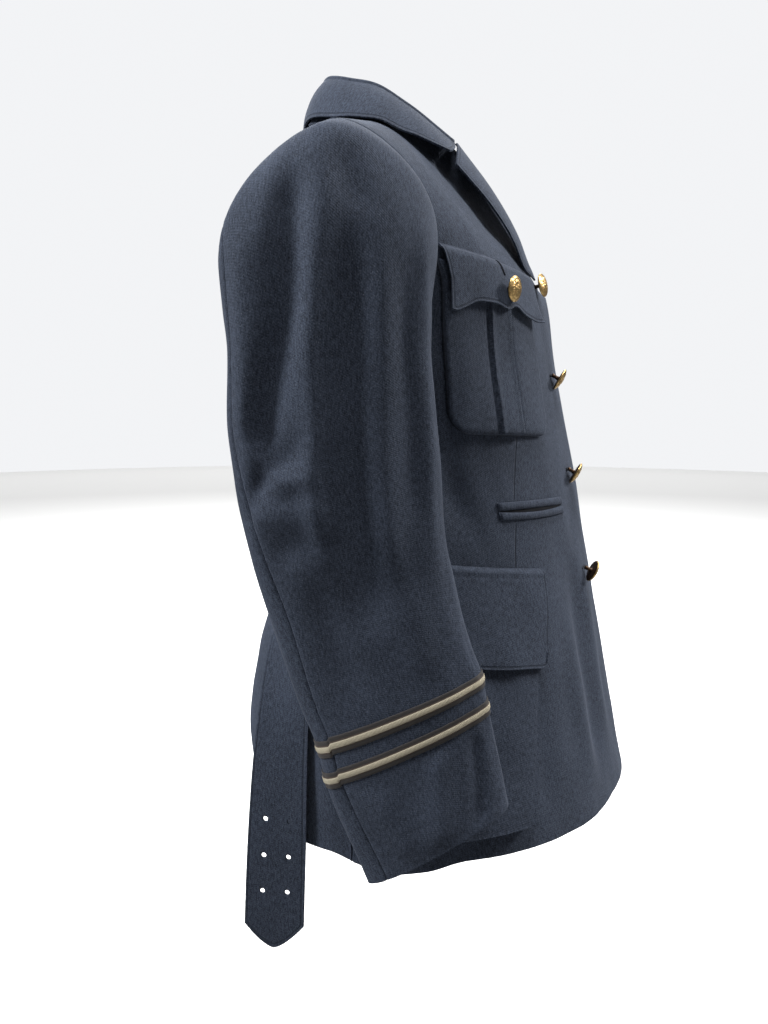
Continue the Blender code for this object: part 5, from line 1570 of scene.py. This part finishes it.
@dataclass
class LowerPockets:
    """Bellows pockets under plain flaps."""

    torso: Torso
    top: float = -450.0
    bottom: float = -715.0
    flap_top: float = -437.0
    flap_length: float = 98.0
    stitch: float = 2.4
    rows: Table = Table(
        "front rear tilt",
        (
            (-715, 232, 404, -0.044),
            (-556, 179, 344, 0.13),
            (-458, 138, 300, 0.13),
            (-440, 134, 292, 0.13),
        ),
    )

    def pocket_out(self, down: np.ndarray | float) -> np.ndarray | float:
        """How far the pocket stands off the body, a share of the way down it."""
        return LAY_GAP + TRIM_WALL + 2.0 + 9.0 * down

    def pocket(self, name: str, side: Side) -> Cloth:
        """The bellows pocket. Its sides and bottom turn back to the skirt."""
        across, up = np.meshgrid(spread(56, 170.0), spread(60, 265.0, (True, False)))
        height = self.bottom + up * (self.top - self.bottom)
        front = self.rows.at("front", height)
        rear = self.rows.at("rear", height)
        width = rear - front
        edge = np.minimum(np.minimum(across, 1 - across) * width, up * (self.top - self.bottom))
        turned = smooth((2.6 - edge) / 2.6)
        tuck = 2.4 * turned * np.clip(1 - 2 * across, -1, 1)
        around = front + across * width + tuck
        height = height - self.rows.at("tilt", height) * (rear - around)
        full = self.pocket_out(1 - up)
        full = full - 2.2 * bell(across - 0.33, 0.13) * np.sin(np.pi * np.clip(up, 0, 1)) ** 0.7
        full = full + 1.8 * bell(across - 0.62, 0.12) * np.sin(np.pi * np.clip(up, 0, 1)) ** 0.7
        full = full - 0.8 * bell(edge - self.stitch - 1.6, 1.1)
        out = full * (1 - turned) + (LAY_GAP * 0.3 + TRIM_WALL) * turned
        return Cloth(name, self.torso.skin(around, height, side, out), around, height, side, TRIM_WALL)

    def flap(self, name: str, side: Side) -> Cloth:
        """The flap, with a welt along its top seam."""
        share, up = np.meshgrid(spread(64, 165.0), spread(34, 98.0))
        down = self.flap_length * (1 - up)
        level = self.flap_top - down
        front = self.rows.at("front", level) - 3
        rear = self.rows.at("rear", level) + 3
        corner = 7.0
        short = np.clip(corner - share * (rear - front), 0, corner)
        down = down * (1 - (corner - np.sqrt(corner**2 - short**2)) / self.flap_length * (down / self.flap_length) ** 4)
        level = self.flap_top - down
        around = front + share * (rear - front)
        height = level - self.rows.at("tilt", level) * (rear - around)
        over = self.pocket_out(np.clip((down - 13) / 242, 0, None)) + LAY_GAP + TRIM_WALL
        start = LAY_GAP + TRIM_WALL
        out = start + (over - start) * smooth(down / 7) + 1.5 * (down / self.flap_length)
        out = out + 1.3 * np.sin(share * 7.5 + 0.5) * (down / self.flap_length) ** 1.5
        out = out + 1.1 * bell(down - 3.4, 2.6) - 1.0 * bell(down - 8.6, 1.3)
        out = out - 0.9 * bell(share * (rear - front) - 5.4, 1.2) * smooth((down - 8) / 6)
        return Cloth(name, self.torso.skin(around, height, side, out), around, height, side, TRIM_WALL)

    def build(self) -> None:
        """Make both sides."""
        for side in Side:
            node = f"lower_pocket_{side.label}"
            # Painted shade along the pocket's sewn edges.
            finish = WoolFinish().build(f"wool_{node}", self.stitch, painted_edge_shade=0.75)
            self.pocket(f"{node}_cloth", side).build(
                finish, [node], Hold.LAID, [f"front_{side.label}"], (True, True, True, False)
            )
            pocket = node
            node = f"lower_flap_{side.label}"
            finish = WoolFinish().build(f"wool_{node}", self.stitch)
            self.flap(f"{node}_cloth", side).build(
                finish, [node], Hold.LAID, [f"front_{side.label}", pocket], (True, True, True, False)
            )


@dataclass
class Slits:
    """A jetted slit at the waist on each front: two folded lips, open a little."""

    torso: Torso
    height: float = -397.5
    front: float = 62.0
    length: float = 114.0
    gap: float = 0.8
    tilt: float = -0.03
    sag: float = 2.4
    lip: float = 8.6
    rise: float = 1.0

    def build(self) -> None:
        """Make the lips of both sides, and the dark mouth between them."""
        for side in Side:
            for part, base, sag in (("upper", self.gap / 2, -0.8), ("lower", -self.gap / 2 - self.lip, self.sag)):
                u, v = np.meshgrid(spread(46, self.length), spread(8, self.lip, (True, True)))
                inner = v if part == "lower" else 1 - v
                bow = sag * np.sin(pi * u)
                height = self.height + base + v * self.lip - self.tilt * u * self.length - bow * (0.35 + 0.65 * inner)
                out = 0.2 + TRIM_WALL + 1.5 * np.sin(pi * v) ** 0.6 - 0.6 * bell(1 - inner, 0.12)
                ends = smooth(np.minimum(u, 1 - u) * self.length / 3)
                out = 0.2 + (out - 0.2) * (0.45 + 0.55 * ends)
                around = self.front + u * self.length
                node = f"slit_lip_{part}_{side.label}"
                finish = WoolFinish().build(f"wool_{node}", 0.0)
                points = self.torso.skin(around, height, side, out)
                Cloth(f"{node}_cloth", points, around, height, side, TRIM_WALL).build(
                    finish, [node], Hold.FOLDED, [f"front_{side.label}"]
                )
            self.mouth(side)

    def mouth(self, side: Side) -> None:
        """The shaded cloth seen between the lips."""
        dark = WoolFinish(pale=(0.004, 0.005, 0.008), fleck=(0.006, 0.007, 0.01), deep=(0.002, 0.002, 0.004))
        u, v = np.meshgrid(np.linspace(0.02, 0.98, 40), np.linspace(-1, 1, 5))
        height = self.height - self.tilt * u * self.length - (self.sag * 0.6) * np.sin(pi * u)
        height = height + v * (1.0 + 2.2 * np.sin(pi * u))
        points = self.torso.skin(self.front + u * self.length, height, side, 0.5)
        strip_of_thread(f"slit_mouth_{side.label}", points, side, dark.build(f"wool_slit_mouth_{side.label}"))


@dataclass
class Button:
    """A domed gilt button with a generic ornament, a back that is dark partly as its own metal and partly as painted
    shade, and a shank.
    """

    node: str
    shank: float
    radius: float = 12.75
    shank_radius: float = 2.4
    petals: int = 8
    steps: int = 64

    def ornament(self, distance: float, angle: float) -> float:
        """Relief of the face: a corded rim, a wreath of leaves and a small boss."""
        cord = 0.28 * float(bell(distance - 10.6, 0.55)) * (1 + 0.5 * cos(angle * 32))
        leaf_line = 6.9 + 0.9 * cos(angle * self.petals * 2)
        leaves = 0.55 * float(bell(distance - leaf_line, 1.25)) * (0.55 + 0.45 * cos(angle * self.petals * 2 + 0.8))
        star = 0.45 * float(bell(distance - 2.9, 1.3)) * (0.5 + 0.5 * cos(angle * self.petals / 2))
        boss = 0.35 * float(bell(distance, 1.3))
        return cord + leaves + star + boss

    def build(self, base: np.ndarray, face: np.ndarray, spin_by: float = 0.0) -> None:
        """Make the button at the foot of its shank.

        Args:
            base: World place of the shank's foot, in metres.
            face: World direction that the button faces.
            spin_by: Turn of the ornament about the button's axis, in degrees.
        """
        top = self.shank
        back = [(0.0, 0.0), (self.shank_radius, 0.0), (self.shank_radius * 0.8, top * 0.5), (self.shank_radius, top + 0.2)]
        back += [(6.0, top + 0.1), (10.8, top + 0.6), (11.9, top + 1.0)]
        front = [(12.6, top + 1.45), (self.radius, top + 1.9), (12.7, top + 2.5), (12.2, top + 3.0)]
        dome = [(distance, top + 5.9 - 2.9 * (distance / 12.2) ** 2) for distance in np.linspace(11.7, 0.0, 26)]
        profile = back + front + dome
        maker = bmesh.new()
        line = [maker.verts.new((radius * MM, 0, height * MM)) for radius, height in profile]
        chain = [maker.edges.new(pair) for pair in zip(line, line[1:])]
        bmesh.ops.spin(maker, geom=line + chain, axis=(0, 0, 1), cent=(0, 0, 0), angle=2 * pi, steps=self.steps,
                       use_merge=True)
        bmesh.ops.remove_doubles(maker, verts=maker.verts[:], dist=0.00001)
        for vertex in maker.verts:
            distance = vertex.co.xy.length / MM
            if vertex.co.z > (top + 2.9) * MM and distance < 12.1:
                vertex.co.z += self.ornament(distance, np.arctan2(vertex.co.y, vertex.co.x)) * MM
        bmesh.ops.recalc_face_normals(maker, faces=maker.faces[:])
        for piece_face in maker.faces:
            piece_face.material_index = 1 if piece_face.calc_center_median().z < (top + 1.2) * MM else 0
        aim = Vector(face).normalized().to_track_quat("Z", "Y").to_matrix().to_4x4()
        turned = aim @ Matrix.Rotation(radians(spin_by), 4, "Z")
        bmesh.ops.transform(maker, matrix=Matrix.Translation(Vector(base)) @ turned, verts=maker.verts[:])
        gilt = bpy.data.materials.get("brass_gilt") or BrassFinish().build("brass_gilt")
        # The back is dark partly as its own duller metal and partly as painted shade under the button.
        dark = bpy.data.materials.get("brass_back") or BrassFinish(
            (0.075, 0.042, 0.024), (0.02, 0.011, 0.007), 0.33, 0.85
        ).build("brass_back")
        finished(f"{self.node}_gilt", maker, (gilt, dark), [self.node])


@dataclass
class FrontButtons:
    """Four buttons that close the right front over the left one, with their buttonholes."""

    torso: Torso
    shank: float = 8.0
    gap: float = 0.5
    rows: tuple[tuple[float, ...], ...] = (
        (-161, 34, -10, 6, 2.2),
        (-256, 23, 30, -15, 0),
        (-361, 23, 30, -15, 0),
        (-474, 31, 26, -28, 0),
    )

    def build(self) -> None:
        """Make the buttons."""
        # Dark buttonhole strips: partly the thread's colour and partly painted shade of the slit.
        dark = WoolFinish(pale=(0.014, 0.018, 0.028), fleck=(0.03, 0.034, 0.04), deep=(0.004, 0.005, 0.008))
        thread = dark.build("wool_front_buttonhole_thread")
        for number, (height, around, droop, turn, sink) in enumerate(self.rows, 1):
            normal = self.torso.skin_normal(around, height, Side.RIGHT)
            level_turn = radians(turn)
            turned_q = cos(level_turn) * normal[0] + sin(level_turn) * normal[1]
            level = np.array([turned_q, cos(level_turn) * normal[1] - sin(level_turn) * normal[0], 0])
            face = level * cos(radians(droop)) - np.array([0, 0, sin(radians(droop))])
            tilt = float(np.arccos(np.clip(face @ normal, -1, 1)))
            reach = 10.8 * sin(tilt) - (self.shank + 0.6) * cos(tilt)
            lift = self.gap + max(2.4 * sin(tilt), reach) - sink
            base = self.torso.skin(around, height, Side.RIGHT, lift)
            node = f"front_button_{number}"
            Button(node, self.shank).build(to_world(base, Side.RIGHT), to_world(face, Side.RIGHT), 20.0 * number)
            self.buttonhole(f"front_buttonhole_{number}", around, height, thread)

    def buttonhole(self, name: str, around: float, height: float, finish: bpy.types.Material) -> None:
        """A stitched buttonhole from the shank towards the front edge. Its dark colour is partly thread and partly
        painted shade of the slit.
        """
        level, place = np.meshgrid(np.linspace(-1, 1, 9), np.linspace(0, 1, 17))
        width = 1.5 * np.sqrt(np.clip(1 - (2 * place - 1) ** 8, 0, 1))
        points = self.torso.skin(around + 3 - 19 * place, height + level * width, Side.RIGHT, 0.1)
        ridge = 0.5 * bell(np.abs(level) - 0.55, 0.3)
        strip_of_thread(name, raised(points, ridge), Side.RIGHT, finish)


@dataclass
class Belt:
    """The belt at the back waist with its folded-down ends, holes and buckle."""

    torso: Torso
    width: float = 62.0
    height: float = -436.0
    fold: float = 98.0
    out: float = 3.7
    end: float = -842.0
    point: float = 26.0
    buckle_end: float = -760.0
    hang_from: float = -480.0
    hang_to: float = -610.0
    hole_radius: float = 2.6
    hole_column: float = 13.0
    hole_rows: tuple[float, ...] = (-707.0, -744.0, -781.0)
    stitch: float = 4.2
    hang: Table = Table(
        "q forward turn",
        (
            (-842, 182, -114, 6),
            (-760, 179, -111, 9),
            (-660, 170, -107, 20),
            (-560, 152, -100, 36),
            (-400, 128, -90, 50),
        ),
    )

    def build(self) -> None:
        """Make the back belt, both ends and the buckle."""
        self.back_belt()
        for side, end, point in ((Side.RIGHT, self.end, self.point), (Side.LEFT, self.buckle_end, 0.0)):
            self.belt_end(side, end, point)
        Buckle(self).build()

    def back_belt(self) -> None:
        """The belt across the back waist."""
        u = np.linspace(0, 1, 141)
        v = spread(14, self.width)
        grid_u, grid_v = np.meshgrid(u, v)
        points = np.zeros((*grid_u.shape, 3))
        share = np.abs(2 * grid_u - 1)
        reach = self.fold + (1 - grid_v) * self.width
        height = self.height + (grid_v - 0.5) * self.width
        for side in Side:
            ring_total = np.array([[self.torso.total(float(h), side) for h in height[:, 0]]]).T
            out = 2.4 + 0.7 * np.sin(grid_u * 23) * np.sin(pi * grid_v)
            half = self.torso.skin(ring_total - share * reach, height, side, out)
            half[..., 0] = np.maximum(half[..., 0], 0.0) * side.value * -1
            picked = grid_u < 0.5 if side is Side.RIGHT else grid_u >= 0.5
            points = np.where(picked[..., None], half, points)
        finish = WoolFinish().build("wool_belt_back", self.stitch)
        cloth = Cloth("belt_back_cloth", points, height, (grid_u - 0.5) * 320, Side.RIGHT, TRIM_WALL,
                      inside=(0.0, 0.0, -0.43))
        cloth.build(finish, ["belt_back"], Hold.LAID, ["back_right", "back_left"])

    def end_place(self, side: Side, end: float, point: float, u: np.ndarray, v: np.ndarray) -> np.ndarray:
        """Points of a hanging end: u from its rear edge, v from its tip to its fold."""
        across = (u - 0.5) * self.width
        top = self.height + self.width / 2 - u * self.width
        tip = end + point * np.abs(2 * u - 1) ** 1.5
        height = tip + v * (top - tip)
        level = np.maximum(height, self.torso.hem + 6)
        totals = np.vectorize(lambda h: self.torso.total(round(h), side))(level)
        around = totals - self.fold - self.width / 2 - across
        on_body = self.torso.skin(around, level, side, self.out + LAY_GAP + TRIM_WALL)
        on_body[..., 2] = height
        turn = np.radians(self.hang.at("turn", height))
        free = np.stack([self.hang.at("q", height) + across * np.sin(turn),
                         self.hang.at("forward", height) + across * np.cos(turn), height], axis=-1)
        weight = smooth((self.hang_from - height) / (self.hang_from - self.hang_to))[..., None]
        points = on_body * (1 - weight) + free * weight
        curl = 1.6 * np.sin(height / 47.0) * smooth((-520 - height) / 120)
        points[..., 0] += curl + 1.4 * (2 * u - 1) ** 2 * weight[..., 0]
        return points

    def belt_end(self, side: Side, end: float, point: float) -> None:
        """One hanging end. The pointed one has six holes."""
        u, v = np.meshgrid(spread(22, self.width), spread(104, 400.0))
        points = self.end_place(side, end, point, u, v)
        node = f"belt_end_{side.label}"
        finish = WoolFinish().build(f"wool_{node}", self.stitch)
        cloth = Cloth(f"{node}_cloth", points, u * self.width, points[..., 2], side, TRIM_WALL)
        piece = cloth.build(finish, [node], Hold.HUNG, ["belt_back"])
        if side is Side.RIGHT:
            self.punch(piece)

    def punch(self, piece: bpy.types.Object) -> None:
        """Punch two columns of round holes through the pointed end, and bake its modifiers."""
        maker = bmesh.new()
        for height in self.hole_rows:
            turn = radians(float(self.hang.at("turn", height)))
            for across in (-self.hole_column, self.hole_column):
                centre = np.array([
                    float(self.hang.at("q", height)) + across * sin(turn),
                    float(self.hang.at("forward", height)) + across * cos(turn),
                    height,
                ])
                face = Vector(to_world(np.array([cos(turn), -sin(turn), 0]), Side.RIGHT)).normalized()
                aim = face.to_track_quat("Z", "Y").to_matrix().to_4x4()
                place = Matrix.Translation(Vector(to_world(centre, Side.RIGHT))) @ aim
                bmesh.ops.create_cone(maker, cap_ends=True, segments=20, radius1=self.hole_radius * MM,
                                      radius2=self.hole_radius * MM, depth=16 * MM, matrix=place)
        mesh = bpy.data.meshes.new("belt_punch")
        maker.to_mesh(mesh)
        maker.free()
        punch = bpy.data.objects.new("belt_punch", mesh)
        bpy.context.scene.collection.objects.link(punch)
        holes = piece.modifiers.new("holes", "BOOLEAN")
        holes.operation = "DIFFERENCE"
        holes.object = punch
        bpy.context.view_layer.update()
        baked = bpy.data.meshes.new_from_object(piece.evaluated_get(bpy.context.evaluated_depsgraph_get()))
        piece.modifiers.clear()
        piece.data = baked
        bpy.data.objects.remove(punch, do_unlink=True)


@dataclass
class Buckle:
    """A two-pronged frame buckle on the belt's other end."""

    belt: Belt
    width: float = 76.0
    depth: float = 46.0
    wire: float = 2.2
    gap: float = 0.3
    corner: float = 6.0
    prong_radius: float = 1.5
    lean: float = 0.06

    def build(self) -> None:
        """Make the frame and its two prongs."""
        belt = self.belt
        turn = radians(float(belt.hang.at("turn", belt.buckle_end)))
        along = Vector(to_world(np.array([sin(turn), cos(turn), 0]), Side.LEFT)).normalized()
        face = Vector(to_world(np.array([cos(turn), -sin(turn), 0]), Side.LEFT)).normalized()
        drop = along.cross(face)
        if drop.z > 0:
            drop.negate()
        q, forward = (float(belt.hang.at(name, belt.buckle_end)) for name in ("q", "forward"))
        middle = Vector(to_world(np.array([q, forward, belt.buckle_end]), Side.LEFT))
        middle += drop * (self.depth / 2 + self.wire + self.gap) * MM - face * self.wire * 0.3 * MM
        gilt = BrassFinish().build("brass_buckle")
        finished("belt_buckle_frame", self.frame(middle, along, drop, face), (gilt,), ["belt_buckle"])
        for number, across in enumerate((-belt.hole_column, belt.hole_column), 1):
            maker = self.prong(middle + along * across * MM, drop, face)
            name = f"buckle_prong_{number}"
            finished(f"{name}_pin", maker, (gilt,), [name])

    def frame(self, middle: Vector, along: Vector, drop: Vector, face: Vector) -> bmesh.types.BMesh:
        """The frame: a round wire bent to a rectangle with rounded corners."""
        maker = bmesh.new()
        half_w, half_d = self.width / 2, self.depth / 2
        rings = []
        for sign_w, sign_d, start in ((1, 1, 0), (-1, 1, 90), (-1, -1, 180), (1, -1, 270)):
            for step in np.linspace(0, 90, 7):
                angle = radians(start + step)
                w = sign_w * (half_w - self.corner) + self.corner * cos(angle)
                d = sign_d * (half_d - self.corner) + self.corner * sin(angle)
                out = (along * cos(angle) + drop * sin(angle)).normalized()
                turned = Matrix((out, face, out.cross(face))).transposed().to_4x4()
                place = Matrix.Translation(middle + (along * w + drop * d) * MM) @ turned
                ring = bmesh.ops.create_circle(maker, segments=14, radius=self.wire * MM, matrix=place)
                rings.append(list({edge for vertex in ring["verts"] for edge in vertex.link_edges}))
        for here, there in zip(rings, rings[1:] + rings[:1]):
            bmesh.ops.bridge_loops(maker, edges=here + there)
        bmesh.ops.recalc_face_normals(maker, faces=maker.faces[:])
        return maker

    def prong(self, middle: Vector, drop: Vector, face: Vector) -> bmesh.types.BMesh:
        """A prong that lies across the frame."""
        centre = middle + drop * (self.wire + self.prong_radius) * MM
        centre += face * (self.wire + self.prong_radius + LAY_GAP) / 2 * MM
        aim = (drop + face * self.lean).normalized().to_track_quat("Z", "Y").to_matrix().to_4x4()
        maker = bmesh.new()
        bmesh.ops.create_cone(maker, cap_ends=True, segments=20, radius1=self.prong_radius * MM,
                              radius2=self.prong_radius * 0.7 * MM, depth=(self.depth - 2 * self.wire - 1) * MM,
                              matrix=Matrix.Translation(centre) @ aim)
        rims = [edge for edge in maker.edges if len(edge.link_faces) == 2 and edge.calc_face_angle(0.0) > 1.0]
        bmesh.ops.bevel(maker, geom=rims, offset=0.5 * MM, offset_type="OFFSET", segments=3, profile=0.5,
                        affect="EDGES", material=-1)
        return maker


@dataclass
class Studio:
    """Pale floor with a curved backdrop, soft lights and the camera."""

    camera_place: tuple[float, float, float] = (-1.05, 0.0, -0.266)
    pitch: float = 8.0
    focal_pixels: float = 909.0
    image_height: float = 1024.0
    floor_height: float = -1.12
    reach: float = 7.0
    bend: float = 0.6
    backdrop: float = 0.92
    ambient: float = 0.1
    overhead: float = 1.6

    def build(self) -> None:
        """Make the stage, lights and camera."""
        self.cove()
        self.light("front", (0.15, -2.3, 1.25), (0, -0.1, -0.35), 84.0, 0.8, (1.0, 0.985, 0.96))
        self.light("rear", (-0.5, 2.2, 1.0), (0, 0.1, -0.3), 92.0, 0.8, (0.97, 0.985, 1.0))
        self.light("above", (-0.75, -0.1, 2.1), (0, 0, -0.3), 40.0, 0.7, (1.0, 1.0, 1.0))
        self.light("ground", (2.6, 0.0, 1.6), (2.4, 0, -1.12), 150.0, 3.0, (1.0, 1.0, 1.0))
        self.surroundings()
        scene = bpy.context.scene
        scene.view_settings.view_transform = "Standard"
        lens = bpy.data.cameras.new("camera")
        lens.sensor_fit = "VERTICAL"
        lens.sensor_height = 36.0
        lens.lens = self.focal_pixels / self.image_height * 36.0
        lens.clip_start = 0.01
        camera = bpy.data.objects.new("camera", lens)
        scene.collection.objects.link(camera)
        camera.location = self.camera_place
        camera.rotation_euler = (radians(90 - self.pitch), 0, radians(-90))
        scene.camera = camera

    def surroundings(self) -> None:
        """A pale backdrop that gives the object only a weak light from all round."""
        world = bpy.data.worlds.new("studio")
        bpy.context.scene.world = world
        world.use_nodes = True
        sky = bpy.data.lights.new("overhead", "SUN")
        sky.energy = self.overhead
        sky.angle = radians(30)
        bpy.context.scene.collection.objects.link(bpy.data.objects.new("overhead", sky))
        make = Nodes(world.node_tree)
        back = world.node_tree.nodes["Background"]
        back.inputs["Color"].default_value = (0.97, 0.98, 1.0, 1)
        seen = make.add("ShaderNodeLightPath").outputs["Is Camera Ray"]
        strength = make.math("MULTIPLY_ADD", seen, self.backdrop - self.ambient, self.ambient)
        make.feed(back.inputs["Strength"], strength)

    def cove(self) -> None:
        """A round floor with a low curved rim."""
        maker = bmesh.new()
        inner = self.reach - self.bend
        profile = [(0.0, self.floor_height), (inner, self.floor_height)]
        profile += [
            (inner + self.bend * sin(radians(a)), self.floor_height + self.bend * (1 - cos(radians(a))) * 0.3)
            for a in np.linspace(0, 80, 14)[1:]
        ]
        line = [maker.verts.new((radius, 0, height)) for radius, height in profile]
        chain = [maker.edges.new(pair) for pair in zip(line, line[1:])]
        bmesh.ops.spin(maker, geom=line + chain, axis=(0, 0, 1), cent=(0, 0, 0), angle=2 * pi, steps=72, use_merge=True)
        bmesh.ops.remove_doubles(maker, verts=maker.verts[:], dist=0.0001)
        bmesh.ops.recalc_face_normals(maker, faces=maker.faces[:])
        bmesh.ops.reverse_faces(maker, faces=maker.faces[:])
        mesh = bpy.data.meshes.new("studio_cove")
        maker.to_mesh(mesh)
        maker.free()
        mesh.shade_smooth()
        mesh.materials.append(PlainFinish().build("studio_paint"))
        cove = bpy.data.objects.new("studio_cove", mesh)
        bpy.context.scene.collection.objects.link(cove)

    def light(self, name: str, place: Colour, target: Colour, power: float, size: float, colour: Colour) -> None:
        """A soft square light that looks at a target.

        Args:
            name: The light's name.
            place: Its place in metres.
            target: Where it looks.
            power: Its power in watts.
            size: Its side in metres.
            colour: Its colour.
        """
        lamp = bpy.data.lights.new(name, "AREA")
        lamp.energy = power
        lamp.size = size
        lamp.color = colour
        thing = bpy.data.objects.new(name, lamp)
        bpy.context.scene.collection.objects.link(thing)
        thing.location = place
        thing.rotation_euler = (Vector(target) - Vector(place)).to_track_quat("-Z", "Y").to_euler()


def main() -> None:
    """Load the frame and build the jacket on it."""
    logging.basicConfig(level=logging.INFO, format="%(name)s: %(message)s")
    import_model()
    torso = Torso()
    builders: list[Callable[[], None]] = [
        Studio().build,
        Panels(torso).build,
        Sleeves(torso).build,
        Collar(torso).build,
        Lapels(torso).build,
        ChestPockets(torso).build,
        LowerPockets(torso).build,
        Slits(torso).build,
        FrontButtons(torso).build,
        Belt(torso).build,
    ]
    for build in builders:
        build()


if __name__ == "__main__":
    main()
